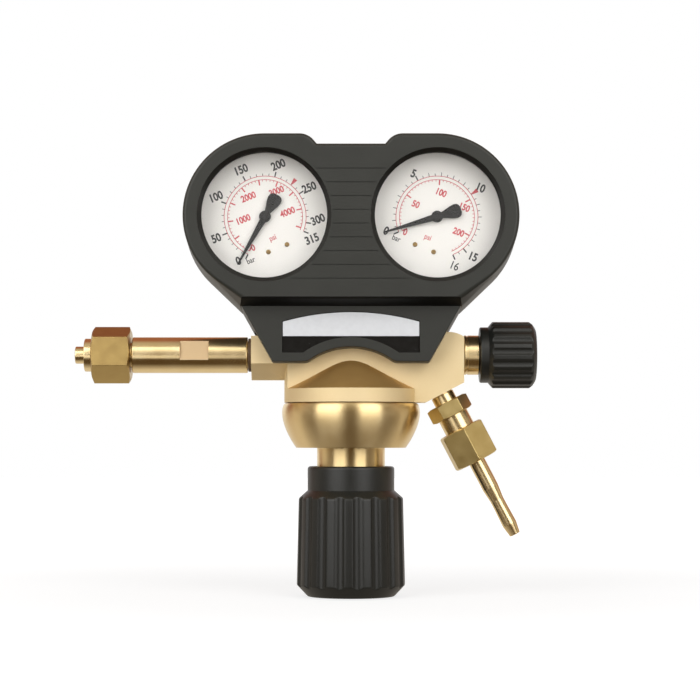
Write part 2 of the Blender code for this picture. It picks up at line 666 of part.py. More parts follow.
    for side, gauge in gauges.items():
        drill(body, "gauge_bore_" + side,
              [(-GAUGE_DISTANCE, 0.0), (-GAUGE_DISTANCE, SMALL_PASSAGE_RADIUS),
               (SOCKET_BOTTOM - GAP, SMALL_PASSAGE_RADIUS),
               (SOCKET_BOTTOM - GAP, SOCKET_THREAD_RADIUS + GAP),
               (SOCKET_SQUARE_BOTTOM + OVERSHOOT, SOCKET_THREAD_RADIUS + GAP),
               (SOCKET_SQUARE_BOTTOM + OVERSHOOT, 0.0)], UPRIGHT, gauge)

    riser = Matrix.Translation((LOW_PASSAGE_X, 0, 0))
    drill(body, "low_riser",
          [(SEAT_BOTTOM - OVERSHOOT, 0.0), (SEAT_BOTTOM - OVERSHOOT, SMALL_PASSAGE_RADIUS),
           (0.0, SMALL_PASSAGE_RADIUS), (0.0, 0.0)], riser, frame, TINY_STEPS)

    bore_floor = BODY_HALF_DEPTH - RELIEF_BORE_DEPTH
    relief = Matrix.Translation((RELIEF_X, 0, 0)) @ ALONG_Y
    drill(body, "relief_bore",
          [(0.0, 0.0), (0.0, RELIEF_VENT_RADIUS), (bore_floor, RELIEF_VENT_RADIUS),
           (bore_floor, RELIEF_BORE_RADIUS + GAP),
           (BODY_HALF_DEPTH + OVERSHOOT, RELIEF_BORE_RADIUS + GAP), (BODY_HALF_DEPTH + OVERSHOOT, 0.0)],
          relief, frame)


def make_diaphragm_stack(frame):
    top, bottom = TOP_OF_DIAPHRAGM, TOP_OF_DIAPHRAGM - DIAPHRAGM_THICKNESS
    place("diaphragm", turned([(bottom, 0.0), (bottom, DIAPHRAGM_RADIUS),
                               (top, DIAPHRAGM_RADIUS), (top, 0.0)], GAUGE_STEPS),
          rubber, frame)

    top, bottom = TOP_OF_SLIP_RING, TOP_OF_SLIP_RING - SLIP_RING_THICKNESS
    inner = DIAPHRAGM_RADIUS - SLIP_RING_WIDTH
    place("bonnet_slip_ring", turned([(bottom, inner), (bottom, DIAPHRAGM_RADIUS),
                                      (top, DIAPHRAGM_RADIUS), (top, inner)], GAUGE_STEPS),
          steel, frame)

    top, bottom = TOP_OF_PLATE, TOP_OF_PLATE - PLATE_THICKNESS
    hub = SPRING_RADIUS - 2 * SPRING_WIRE_RADIUS
    place("diaphragm_plate",
          turned([(bottom - PLATE_THICKNESS / 2, 0.0), (bottom - PLATE_THICKNESS / 2, hub - GAP),
                  (bottom, hub), (bottom, PLATE_RADIUS), (top, PLATE_RADIUS), (top, 0.0)]),
          aluminium, frame)

    disc_bottom = SPRING_DISC_BOTTOM
    disc_top = SPRING_DISC_BOTTOM + SPRING_DISC_THICKNESS
    place("spring_disc",
          turned([(disc_bottom, 0.0), (disc_bottom, SPRING_DISC_RADIUS - GAP),
                  (disc_bottom + GAP, SPRING_DISC_RADIUS), (disc_top, SPRING_DISC_RADIUS),
                  (disc_top, hub), (disc_top + SPRING_DISC_THICKNESS / 2, hub - GAP),
                  (disc_top + SPRING_DISC_THICKNESS / 2, 0.0)]), steel, frame)

    place("set_spring", coil_spring(SPRING_RADIUS, SPRING_WIRE_RADIUS, SPRING_TURNS,
                                    disc_top + GAP, bottom - GAP), steel, frame)


def make_bonnet(frame):
    spigot = DIAPHRAGM_RADIUS
    lip = BODY_BOTTOM - GAP
    swell = lip - BOWL_SHOULDER_HEIGHT
    shoulder = BOWL_RADIUS - BOWL_SHOULDER_WIDTH
    outer = [(TOP_OF_SPIGOT, 0.0), (TOP_OF_SPIGOT, spigot), (lip, spigot), (lip, shoulder)]
    for index in range(1, 4):
        angle = math.radians(90) * index / 3
        outer.append((lip - BOWL_SHOULDER_HEIGHT * (1 - math.cos(angle)),
                      shoulder + BOWL_SHOULDER_WIDTH * math.sin(angle)))
    depth = swell - BOWL_BOTTOM
    for share in (0.3, 0.6, 0.85, 1.0):
        drop = (BOWL_RADIUS - BOWL_BOTTOM_RADIUS) * share ** 1.75
        outer.append((swell - depth * share, BOWL_RADIUS - drop))
    neck_end = BOWL_BOTTOM - NECK_LENGTH
    outer += [(BOWL_BOTTOM, NECK_RADIUS), (neck_end, NECK_RADIUS), (neck_end, 0.0)]
    bonnet = place("bonnet", turned(outer, LARGE_STEPS), brass, frame)
    spindle_hole = SPINDLE_RADIUS + GAP
    throat = spigot - BOWL_WALL
    drill(bonnet, "bonnet_bore",
          [(neck_end - OVERSHOOT, 0.0), (neck_end - OVERSHOOT, spindle_hole), (BOWL_FLOOR, spindle_hole),
           (BOWL_FLOOR, BOWL_BOTTOM_RADIUS - BOWL_WALL),
           (swell - depth / 2, BOWL_RADIUS - 1.5 * BOWL_WALL),
           (swell, BOWL_RADIUS - 1.5 * BOWL_WALL), (lip, throat),
           (TOP_OF_SPIGOT + OVERSHOOT, throat), (TOP_OF_SPIGOT + OVERSHOOT, 0.0)],
          UPRIGHT, frame, MIDDLE_STEPS)


def make_valve(frame):
    lip = SEAT_HOLE_RADIUS * 1.6
    place("valve_seat",
          turned([(SEAT_BOTTOM, SEAT_HOLE_RADIUS), (SEAT_BOTTOM, SEAT_RADIUS - GAP),
                  (SEAT_BOTTOM + GAP, SEAT_RADIUS), (SEAT_TOP - GAP, SEAT_RADIUS),
                  (SEAT_TOP - GAP, lip), (SEAT_TOP, SEAT_HOLE_RADIUS + GAP),
                  (SEAT_TOP, SEAT_HOLE_RADIUS)], SMALL_STEPS), brass, frame)
    pin_end = TOP_OF_DIAPHRAGM + GAP
    stub = POPPET_SPRING_RADIUS - POPPET_SPRING_WIRE - GAP
    place("valve_poppet",
          turned([(pin_end, 0.0), (pin_end, POPPET_PIN_RADIUS),
                  (POPPET_BOTTOM, POPPET_PIN_RADIUS), (POPPET_BOTTOM, POPPET_RADIUS - GAP),
                  (POPPET_BOTTOM + GAP, POPPET_RADIUS), (POPPET_TOP, POPPET_RADIUS),
                  (POPPET_TOP, stub), (POPPET_TOP + 3 * GAP, stub), (POPPET_TOP + 3 * GAP, 0.0)],
                 TINY_STEPS), steel, frame)
    place("poppet_spring", coil_spring(POPPET_SPRING_RADIUS, POPPET_SPRING_WIRE,
                                       SMALL_SPRING_TURNS, POPPET_TOP + GAP,
                                       HIGH_CHAMBER_TOP - GAP), steel, frame)


def flute_cutters(name, parent, matrix, count, cutter_radius, low, high, grip_low, grip_high,
                  depth, phase):
    """One guide with a round bar in every flute, leaning with the grip's flare."""
    shape = bmesh.new()
    for index in range(count):
        angle = phase + 2 * math.pi * index / count
        ends = []
        for z, grip in ((low, grip_low), (high, grip_high)):
            reach = grip + cutter_radius - depth
            centre = Vector((reach * math.cos(angle), reach * math.sin(angle), z))
            ring = [shape.verts.new(centre + Vector((x, y, 0)))
                    for x, y in circle(cutter_radius, FLUTE_SIDES, start=angle)]
            ends.append(ring)
        shape.faces.new(ends[0])
        shape.faces.new(ends[1])
        for spot in range(FLUTE_SIDES):
            nearby = (spot + 1) % FLUTE_SIDES
            shape.faces.new((ends[0][spot], ends[0][nearby], ends[1][nearby], ends[1][spot]))
    return place(name, shape, None, parent, matrix)


def make_adjusting_knob(frame):
    place("adjusting_spindle",
          turned([(SPINDLE_TOP, 0.0), (SPINDLE_TOP, SPINDLE_RADIUS - 4 * GAP),
                  (SPINDLE_TOP - 4 * GAP, SPINDLE_RADIUS),
                  (SPINDLE_BOTTOM + SPINDLE_DRIVE_LENGTH, SPINDLE_RADIUS),
                  (SPINDLE_BOTTOM + SPINDLE_DRIVE_LENGTH, SPINDLE_DRIVE_RADIUS),
                  (SPINDLE_BOTTOM, SPINDLE_DRIVE_RADIUS),
                  (SPINDLE_BOTTOM, KNOB_SCREW_RADIUS + GAP),
                  (SPINDLE_BOTTOM + KNOB_SCREW_LENGTH, KNOB_SCREW_RADIUS + GAP),
                  (SPINDLE_BOTTOM + KNOB_SCREW_LENGTH, 0.0)], SMALL_STEPS),
          steel, frame)

    grip_low = KNOB_GRIP_RADIUS + KNOB_GRIP_FLARE
    collar_bore = NECK_RADIUS + 3 * GAP
    cavity_floor = KNOB_TOP - KNOB_CAVITY_DEPTH
    screw_well = KNOB_SCREW_HEAD_RADIUS + GAP
    round_off = 0.0010
    profile = [(KNOB_TOP, 0.0), (KNOB_TOP, KNOB_COLLAR_RADIUS - round_off),
               (KNOB_TOP - round_off, KNOB_COLLAR_RADIUS), (KNOB_SHOULDER, KNOB_COLLAR_RADIUS),
               (KNOB_GRIP_TOP, KNOB_GRIP_RADIUS), (KNOB_GRIP_BOTTOM, grip_low),
               (KNOB_BOTTOM, grip_low - KNOB_CHAMFER_WIDTH), (KNOB_BOTTOM, 0.0)]
    knob = place("adjusting_knob", turned(profile, GAUGE_STEPS), black_plastic, frame)
    drill(knob, "adjusting_knob_bore",
          [(KNOB_BOTTOM - OVERSHOOT, 0.0), (KNOB_BOTTOM - OVERSHOOT, KNOB_CAP_RADIUS + GAP),
           (CAP_SEAT, KNOB_CAP_RADIUS + GAP), (CAP_SEAT, screw_well),
           (KNOB_WEB_BOTTOM, screw_well), (KNOB_WEB_BOTTOM, KNOB_SCREW_RADIUS + GAP),
           (KNOB_WEB_TOP, KNOB_SCREW_RADIUS + GAP), (KNOB_WEB_TOP, SPINDLE_DRIVE_RADIUS + GAP),
           (cavity_floor, SPINDLE_DRIVE_RADIUS + GAP), (cavity_floor, collar_bore),
           (KNOB_TOP + OVERSHOOT, collar_bore), (KNOB_TOP + OVERSHOOT, 0.0)],
          UPRIGHT, frame, MIDDLE_STEPS)
    combine(knob, flute_cutters("adjusting_knob_flutes", frame, UPRIGHT, KNOB_FLUTES,
                                KNOB_FLUTE_RADIUS, KNOB_BOTTOM - OVERSHOOT, KNOB_SHOULDER,
                                grip_low, KNOB_GRIP_RADIUS, KNOB_FLUTE_DEPTH,
                                KNOB_FLUTE_PHASE - math.pi / 2))

    head_top = KNOB_WEB_BOTTOM - GAP
    head_bottom = head_top - KNOB_SCREW_HEAD_HEIGHT
    place("adjusting_knob_screw",
          turned([(head_bottom, 0.0), (head_bottom, KNOB_SCREW_HEAD_RADIUS),
                  (head_top, KNOB_SCREW_HEAD_RADIUS), (head_top, KNOB_SCREW_RADIUS),
                  (head_top + KNOB_SCREW_LENGTH, KNOB_SCREW_RADIUS),
                  (head_top + KNOB_SCREW_LENGTH, 0.0)], TINY_STEPS), steel, frame)

    cap_top = CAP_SEAT - GAP
    cap_bottom = cap_top - KNOB_CAP_THICKNESS
    place("adjusting_knob_cap",
          turned([(cap_bottom, 0.0), (cap_bottom, KNOB_CAP_RADIUS - 3 * GAP),
                  (cap_bottom + 2 * GAP, KNOB_CAP_RADIUS), (cap_top, KNOB_CAP_RADIUS),
                  (cap_top, 0.0)], MIDDLE_STEPS), black_plastic, frame)


def make_inlet(frame):
    middle = (WASHER_LEFT, WASHER_LEFT + WASHER_THICKNESS)
    hole = TUBE_SPIGOT_RADIUS + GAP
    place("inlet_stem_washer",
          turned([(middle[0], hole), (middle[0], TUBE_RADIUS - 2 * GAP),
                  (middle[1], TUBE_RADIUS - 2 * GAP), (middle[1], hole)]),
          washer_grey, frame, ALONG_X)

    spigot_end = -INLET_ARM_REACH + TUBE_SPIGOT_LENGTH
    socket_end = TUBE_LEFT + NIPPLE_SPIGOT_LENGTH + GAP
    socket = NIPPLE_SPIGOT_RADIUS + GAP
    edge = 2 * GAP
    stem = place("inlet_stem",
                 turned([(TUBE_LEFT, socket), (TUBE_LEFT, TUBE_RADIUS - edge),
                         (TUBE_LEFT + edge, TUBE_RADIUS), (TUBE_RIGHT - edge, TUBE_RADIUS),
                         (TUBE_RIGHT, TUBE_RADIUS - edge), (TUBE_RIGHT, TUBE_SPIGOT_RADIUS),
                         (spigot_end, TUBE_SPIGOT_RADIUS), (spigot_end, PASSAGE_RADIUS),
                         (socket_end, PASSAGE_RADIUS), (socket_end, socket)]),
                 brass, frame, ALONG_X)
    flats_right = -INLET_ARM_REACH - TUBE_FLATS_FROM_BODY
    flats_left = flats_right - TUBE_FLATS_LENGTH
    half = TUBE_FLATS_ACROSS / 2
    for name, turn in (("stem_flat_front", 0.0), ("stem_flat_back", math.pi)):
        slab = [(half, -TUBE_RADIUS), (TUBE_RADIUS + edge, -TUBE_RADIUS),
                (TUBE_RADIUS + edge, TUBE_RADIUS), (half, TUBE_RADIUS)]
        spin = Matrix.Rotation(turn - math.pi / 2 - TUBE_FLATS_TURN, 4, 'Z')
        cutter = place(name, prism(slab, flats_left, flats_right), None, frame, ALONG_X @ spin)
        combine(stem, cutter)

    filter_seat = socket_end - 2 * GAP
    filter_start = filter_seat - FILTER_LENGTH - 2 * GAP
    place("inlet_nipple",
          turned([(NOSE_TIP, NOSE_BORE_RADIUS), (NOSE_TIP, NOSE_RADIUS - edge),
                  (NOSE_TIP + edge, NOSE_RADIUS), (COLLAR_LEFT, NOSE_RADIUS),
                  (COLLAR_LEFT, COLLAR_RADIUS - edge), (COLLAR_LEFT + edge, COLLAR_RADIUS),
                  (COLLAR_RIGHT, COLLAR_RADIUS), (COLLAR_RIGHT, NIPPLE_NECK_RADIUS),
                  (TUBE_LEFT - GAP, NIPPLE_NECK_RADIUS), (TUBE_LEFT - GAP, NIPPLE_SPIGOT_RADIUS),
                  (TUBE_LEFT + NIPPLE_SPIGOT_LENGTH, NIPPLE_SPIGOT_RADIUS),
                  (TUBE_LEFT + NIPPLE_SPIGOT_LENGTH, FILTER_RADIUS + GAP),
                  (filter_start, FILTER_RADIUS + GAP), (filter_start, NOSE_BORE_RADIUS)], SMALL_STEPS),
          brass, frame, ALONG_X)
    place("inlet_filter",
          turned([(filter_start + GAP, 0.0), (filter_start + GAP, FILTER_RADIUS),
                  (filter_start + GAP + FILTER_LENGTH, FILTER_RADIUS),
                  (filter_start + GAP + FILTER_LENGTH, 0.0)], TINY_STEPS), sintered, frame, ALONG_X)

    nut = hex_piece("inlet_nut", nut_brass, frame, ALONG_X, NUT_FLATS,
                    -NUT_TURN, NUT_LEFT, NUT_RIGHT)
    back_wall = NUT_RIGHT - NUT_BACK_WALL
    stem_hole = NIPPLE_NECK_RADIUS + GAP
    drill(nut, "inlet_nut_bore",
          [(NUT_LEFT - OVERSHOOT, 0.0), (NUT_LEFT - OVERSHOOT, NUT_THREAD_RADIUS),
           (back_wall, NUT_THREAD_RADIUS), (back_wall, stem_hole),
           (NUT_RIGHT + OVERSHOOT, stem_hole), (NUT_RIGHT + OVERSHOOT, 0.0)],
          ALONG_X, frame, MIDDLE_STEPS)

    washer_right = back_wall - GAP
    washer_left = washer_right - THRUST_WASHER_THICKNESS
    rim = NUT_THREAD_RADIUS - 2 * GAP
    place("inlet_thrust_washer",
          turned([(washer_left, stem_hole), (washer_left, rim), (washer_right, rim),
                  (washer_right, stem_hole)]), steel, frame, ALONG_X)


def make_shut_off_valve(frame):
    pad_right = PAD_LEFT + VALVE_PAD_THICKNESS
    place("outlet_valve_pad",
          turned([(PAD_LEFT, 0.0), (PAD_LEFT, VALVE_PAD_RADIUS - GAP),
                  (PAD_LEFT + GAP, VALVE_PAD_RADIUS), (pad_right, VALVE_PAD_RADIUS),
                  (pad_right, 0.0)], TINY_STEPS), white_plastic, frame, ALONG_X)

    hole = VALVE_SPINDLE_RADIUS + GAP
    spigot_left = OUTLET_ARM_REACH - GLAND_SPIGOT_LENGTH
    pocket = GLAND_LEFT + GLAND_LENGTH * 0.2
    pocket_radius = hole + PACKING_WIDTH + GAP
    place("outlet_valve_gland",
          turned([(spigot_left, hole), (spigot_left, GLAND_SPIGOT_RADIUS),
                  (GLAND_LEFT, GLAND_SPIGOT_RADIUS), (GLAND_LEFT, GLAND_RADIUS - GAP),
                  (GLAND_LEFT + GAP, GLAND_RADIUS), (GLAND_RIGHT - GAP, GLAND_RADIUS),
                  (GLAND_RIGHT, GLAND_RADIUS - GAP), (GLAND_RIGHT, pocket_radius),
                  (pocket, pocket_radius), (pocket, hole)]), brass, frame, ALONG_X)
    ring = (pocket + GAP, pocket + GAP + PACKING_THICKNESS)
    place("outlet_valve_packing",
          turned([(ring[0], hole), (ring[0], hole + PACKING_WIDTH),
                  (ring[1], hole + PACKING_WIDTH), (ring[1], hole)], SMALL_STEPS),
          rubber, frame, ALONG_X)

    screw_hole = VALVE_SCREW_RADIUS + GAP
    place("outlet_valve_spindle",
          turned([(VALVE_SPINDLE_TIP, 0.0), (VALVE_SPINDLE_TIP, VALVE_SPINDLE_RADIUS),
                  (VALVE_SPINDLE_END, VALVE_SPINDLE_RADIUS), (VALVE_SPINDLE_END, screw_hole),
                  (VALVE_SPINDLE_END - VALVE_SCREW_LENGTH, screw_hole),
                  (VALVE_SPINDLE_END - VALVE_SCREW_LENGTH, 0.0)], SMALL_STEPS),
          steel, frame, ALONG_X)

    shoulder = VALVE_KNOB_LEFT + VALVE_KNOB_COLLAR_LENGTH
    web_left = VALVE_WEB_RIGHT - VALVE_WEB
    screw_well = VALVE_SCREW_HEAD_RADIUS + GAP
    cap_well = VALVE_CAP_RADIUS + GAP
    rim = VALVE_KNOB_GRIP_RADIUS - VALVE_KNOB_CHAMFER_WIDTH
    profile = [(VALVE_KNOB_LEFT, 0.0), (VALVE_KNOB_LEFT, VALVE_KNOB_COLLAR_RADIUS - 2 * GAP),
               (VALVE_KNOB_LEFT + 2 * GAP, VALVE_KNOB_COLLAR_RADIUS),
               (shoulder, VALVE_KNOB_COLLAR_RADIUS), (VALVE_GRIP_LEFT, VALVE_KNOB_GRIP_RADIUS),
               (VALVE_GRIP_RIGHT, VALVE_KNOB_GRIP_RADIUS), (VALVE_KNOB_RIGHT, rim),
               (VALVE_KNOB_RIGHT, 0.0)]
    knob = place("outlet_valve_knob", turned(profile, GAUGE_STEPS), black_plastic,
                 frame, ALONG_X)
    drill(knob, "outlet_valve_knob_bore",
          [(VALVE_KNOB_LEFT - OVERSHOOT, 0.0), (VALVE_KNOB_LEFT - OVERSHOOT, hole), (web_left, hole),
           (web_left, screw_hole), (VALVE_WEB_RIGHT, screw_hole), (VALVE_WEB_RIGHT, screw_well),
           (VALVE_CAP_SEAT, screw_well), (VALVE_CAP_SEAT, cap_well),
           (VALVE_KNOB_RIGHT + OVERSHOOT, cap_well), (VALVE_KNOB_RIGHT + OVERSHOOT, 0.0)],
          ALONG_X, frame, MIDDLE_STEPS)
    combine(knob, flute_cutters("valve_knob_flutes", frame, ALONG_X, VALVE_KNOB_FLUTES,
                                VALVE_KNOB_FLUTE_RADIUS, shoulder, VALVE_KNOB_RIGHT + OVERSHOOT,
                                VALVE_KNOB_GRIP_RADIUS, VALVE_KNOB_GRIP_RADIUS,
                                VALVE_KNOB_FLUTE_DEPTH, VALVE_KNOB_FLUTE_PHASE))

    head_left = VALVE_WEB_RIGHT + GAP
    head_right = head_left + VALVE_SCREW_HEAD_HEIGHT
    place("outlet_valve_knob_screw",
          turned([(head_left - VALVE_SCREW_LENGTH, 0.0),
                  (head_left - VALVE_SCREW_LENGTH, VALVE_SCREW_RADIUS),
                  (head_left, VALVE_SCREW_RADIUS), (head_left, VALVE_SCREW_HEAD_RADIUS),
                  (head_right, VALVE_SCREW_HEAD_RADIUS), (head_right, 0.0)], TINY_STEPS),
          steel, frame, ALONG_X)

    cap_left = VALVE_CAP_SEAT + GAP
    cap_right = cap_left + VALVE_CAP_THICKNESS
    place("outlet_valve_knob_cap",
          turned([(cap_left, 0.0), (cap_left, VALVE_CAP_RADIUS),
                  (cap_right - GAP, VALVE_CAP_RADIUS), (cap_right, VALVE_CAP_RADIUS * 0.93),
                  (cap_right + GAP, VALVE_CAP_RADIUS * 0.5), (cap_right + 1.5 * GAP, 0.0)]),
          black_plastic, frame, ALONG_X)


def make_hose_outlet(axis):
    thread_end = THREAD_START + ADAPTER_THREAD_LENGTH
    adapter = place("outlet_adapter",
                    turned([(-ADAPTER_SPIGOT_LENGTH, 0.0),
                            (-ADAPTER_SPIGOT_LENGTH, ADAPTER_SPIGOT_RADIUS),
                            (GAP, ADAPTER_SPIGOT_RADIUS), (GAP, ADAPTER_NECK_RADIUS),
                            (HEX_START + GAP, ADAPTER_NECK_RADIUS),
                            (HEX_START + GAP, ADAPTER_THREAD_RADIUS - 2 * GAP),
                            (THREAD_START + 2 * GAP, ADAPTER_THREAD_RADIUS - 2 * GAP),
                            (THREAD_START + 4 * GAP, ADAPTER_THREAD_RADIUS),
                            (thread_end - 2 * GAP, ADAPTER_THREAD_RADIUS),
                            (thread_end, ADAPTER_THREAD_RADIUS - 2 * GAP), (thread_end, 0.0)],
                           MIDDLE_STEPS), nut_brass, axis)
    hexagon_part = hex_piece("outlet_adapter_hex", None, axis, UPRIGHT, ADAPTER_HEX_FLATS,
                             0.0, HEX_START, THREAD_START)
    combine(adapter, hexagon_part, 'UNION')
    drill(adapter, "outlet_adapter_bore",
          [(-ADAPTER_SPIGOT_LENGTH - OVERSHOOT, 0.0),
           (-ADAPTER_SPIGOT_LENGTH - OVERSHOOT, ADAPTER_BORE_RADIUS),
           (thread_end + OVERSHOOT, ADAPTER_BORE_RADIUS), (thread_end + OVERSHOOT, 0.0)],
          UPRIGHT, axis)

    nut = hex_piece("hose_union_nut", nut_brass, axis, UPRIGHT, UNION_NUT_FLATS,
                    UNION_NUT_TURN, UNION_START, UNION_END)
    thread_hole = ADAPTER_THREAD_RADIUS + GAP
    tail_hole = HOSE_TAIL_RADIUS + GAP
    end_wall = UNION_END - UNION_NUT_END_WALL
    drill(nut, "hose_union_bore",
          [(UNION_START - OVERSHOOT, 0.0), (UNION_START - OVERSHOOT, thread_hole),
           (end_wall, thread_hole), (end_wall, tail_hole),
           (UNION_END + OVERSHOOT, tail_hole), (UNION_END + OVERSHOOT, 0.0)],
          UPRIGHT, axis, MIDDLE_STEPS)

    tail_end = UNION_END + HOSE_TAIL_LENGTH - UNION_NUT_END_WALL
    waist = tail_end + HOSE_WAIST_LENGTH
    barb = waist + HOSE_BARB_LENGTH
    tip = barb + HOSE_TIP_LENGTH
    place("hose_nipple",
          turned([(HOSE_HEAD_START, HOSE_BORE_RADIUS), (HOSE_HEAD_START, HOSE_HEAD_RADIUS - GAP),
                  (HOSE_HEAD_START + GAP, HOSE_HEAD_RADIUS), (HOSE_HEAD_END, HOSE_HEAD_RADIUS),
                  (HOSE_HEAD_END, HOSE_TAIL_RADIUS), (tail_end - GAP, HOSE_TAIL_RADIUS),
                  (tail_end, HOSE_TAIL_RADIUS - GAP), (waist, HOSE_WAIST_RADIUS),
                  (barb - 4 * GAP, HOSE_BARB_RADIUS), (barb, HOSE_BARB_RADIUS),
                  (tip, HOSE_TIP_RADIUS), (tip, HOSE_BORE_RADIUS)], SMALL_STEPS),
          nut_brass, axis)


def make_relief_valve(frame):
    spot = Matrix.Translation((RELIEF_X, 0, 0)) @ ALONG_Y
    floor = BODY_HALF_DEPTH - RELIEF_BORE_DEPTH
    head = BODY_HALF_DEPTH + GAP
    head_end = head + RELIEF_HEAD_LENGTH
    disc_end = floor + GAP + RELIEF_DISC_THICKNESS
    cage_end = head_end - 3 * GAP
    place("relief_valve_disc",
          turned([(floor + GAP, 0.0), (floor + GAP, RELIEF_DISC_RADIUS),
                  (disc_end, RELIEF_DISC_RADIUS), (disc_end, 0.0)], TINY_STEPS), rubber, frame, spot)
    place("relief_valve_spring",
          coil_spring(RELIEF_SPRING_RADIUS, RELIEF_SPRING_WIRE, SMALL_SPRING_TURNS,
                      disc_end + GAP, cage_end - RELIEF_LIFT - GAP),
          steel, frame, spot)
    place("relief_valve_cage",
          turned([(floor + GAP, RELIEF_CAGE_RADIUS), (floor + GAP, RELIEF_BORE_RADIUS),
                  (head, RELIEF_BORE_RADIUS), (head, RELIEF_HEAD_RADIUS - GAP),
                  (head + GAP, RELIEF_HEAD_RADIUS), (head_end - GAP, RELIEF_HEAD_RADIUS),
                  (head_end, RELIEF_HEAD_RADIUS - GAP), (head_end, RELIEF_VENT_RADIUS),
                  (cage_end, RELIEF_VENT_RADIUS), (cage_end, RELIEF_CAGE_RADIUS)],
                 SMALL_STEPS),
          brass, frame, spot)


def gear_outline(teeth, module, count, start):
    """Trapezoid teeth round a wheel's centre, count of them from the angle start."""
    pitch = 2 * math.pi / teeth
    radius = module * teeth / 2
    top, root = radius + 0.75 * module, radius - 1.05 * module
    points = []
    for index in range(count):
        middle = start + pitch * index
        for reach, share in ((root, -0.21), (top, -0.10), (top, 0.10), (root, 0.21)):
            angle = middle + pitch * share
            points.append((reach * math.cos(angle), reach * math.sin(angle)))
    return points


def pointer_outline():
    """Needle, hub and round tail, pointing along +X from the hub."""
    hub = POINTER_HUB_RADIUS
    tail = POINTER_TAIL_RADIUS
    waist = POINTER_TIP_WIDTH * 2.4
    hub_angle = math.asin(waist / hub)
    tail_angle = math.asin(waist * 1.6 / tail)
    front = [(POINTER_REACH, -POINTER_TIP_WIDTH / 2), (POINTER_REACH, POINTER_TIP_WIDTH / 2)]
    upper_hub = circle(hub, 6, start=hub_angle, sweep=math.pi - 2 * hub_angle)
    bulb = circle(tail, 10, centre=(-POINTER_TAIL_REACH, 0.0), start=tail_angle,
                  sweep=2 * math.pi - 2 * tail_angle)
    lower_hub = [(x, -y) for x, y in reversed(upper_hub)]
    return front + upper_hub + bulb + lower_hub


def make_gauge(side, gauge):
    inner = GAUGE_RADIUS - GAUGE_WALL
    window_seat = GAUGE_FRONT + GAP + WINDOW_THICKNESS + GAP
    case = place(side + "_gauge_case",
                 turned([(GAUGE_BACK, 0.0), (GAUGE_BACK, GAUGE_RADIUS - GAUGE_WALL),
                         (GAUGE_BACK - GAUGE_WALL, GAUGE_RADIUS), (GAUGE_FRONT, GAUGE_RADIUS),
                         (GAUGE_FRONT, inner), (window_seat, inner),
                         (window_seat, inner - WINDOW_LEDGE),
                         (GAUGE_BACK - GAUGE_WALL, inner - WINDOW_LEDGE),
                         (GAUGE_BACK - GAUGE_WALL, 0.0)], GAUGE_STEPS), steel_black, gauge, ALONG_Y)
    drill(case, side + "_case_hole",
          [(-GAUGE_RADIUS - OVERSHOOT, 0.0), (-GAUGE_RADIUS - OVERSHOOT, SOCKET_NECK_RADIUS + GAP),
           (-GAUGE_RADIUS + 0.006, SOCKET_NECK_RADIUS + GAP), (-GAUGE_RADIUS + 0.006, 0.0)],
          UPRIGHT, gauge)

    window = (GAUGE_FRONT + GAP, GAUGE_FRONT + GAP + WINDOW_THICKNESS)
    place(side + "_gauge_window",
          turned([(window[0], 0.0), (window[0], inner - GAP), (window[1], inner - GAP),
                  (window[1], 0.0)], GAUGE_STEPS), clear, gauge, ALONG_Y)

    dial_hole = 2 * ARBOR_HOLE_RADIUS
    place(side + "_gauge_dial",
          turned([(DIAL_FRONT, dial_hole), (DIAL_FRONT, DIAL_RADIUS), (DIAL_BACK, DIAL_RADIUS),
                  (DIAL_BACK, dial_hole)], GAUGE_STEPS), dial_white, gauge, ALONG_Y)

    make_gauge_socket(side, gauge)
    make_bourdon_tube(side, gauge)
    make_movement(side, gauge)


def make_gauge_socket(side, gauge):
    bore = GAUGE_RADIUS - GAUGE_WALL - WINDOW_LEDGE
    block_bottom = -math.sqrt(bore ** 2 - SOCKET_HALF_WIDTH ** 2) + 2 * GAP
    square = SOCKET_SQUARE / 2
    socket = place(side + "_gauge_socket",
                   turned([(SOCKET_BOTTOM, 0.0), (SOCKET_BOTTOM, SOCKET_THREAD_RADIUS - 2 * GAP),
                           (SOCKET_BOTTOM + 2 * GAP, SOCKET_THREAD_RADIUS),
                           (SOCKET_SQUARE_BOTTOM + GAP, SOCKET_THREAD_RADIUS),
                           (SOCKET_SQUARE_BOTTOM + GAP, SOCKET_NECK_RADIUS),
                           (block_bottom + GAP, SOCKET_NECK_RADIUS), (block_bottom + GAP, 0.0)],
                          SMALL_STEPS),
                   brass, gauge)
    corner = 0.0012
    plan = [(square, square - corner), (square - corner, square)]
    plan += [(-y, x) for x, y in plan]
    plan += [(-x, -y) for x, y in plan]
    flats = place(side + "_socket_square", prism(plan, SOCKET_SQUARE_BOTTOM, SOCKET_SQUARE_TOP),
                  None, gauge)
    combine(socket, flats, 'UNION')
    half = SOCKET_HALF_WIDTH
    block_plan = [(-half, -half), (half, -half), (half, half), (-half, half)]
    block = place(side + "_socket_block", prism(block_plan, block_bottom, SOCKET_BLOCK_TOP),
                  None, gauge)
    combine(socket, block, 'UNION')
    port_z = tube_start()[1]
    drill(socket, side + "_socket_bore",
          [(SOCKET_BOTTOM - OVERSHOOT, 0.0), (SOCKET_BOTTOM - OVERSHOOT, SMALL_PASSAGE_RADIUS),
           (port_z, SMALL_PASSAGE_RADIUS), (port_z, 0.0)], UPRIGHT, gauge, TINY_STEPS)
    across = Matrix.Translation((0, 0, port_z)) @ ALONG_X
    drill(socket, side + "_socket_port",
          [(0.0, 0.0), (0.0, TUBE_SPRING_HALF_THICKNESS),
           (half + OVERSHOOT, TUBE_SPRING_HALF_THICKNESS), (half + OVERSHOOT, 0.0)], across, gauge,
          TINY_STEPS)


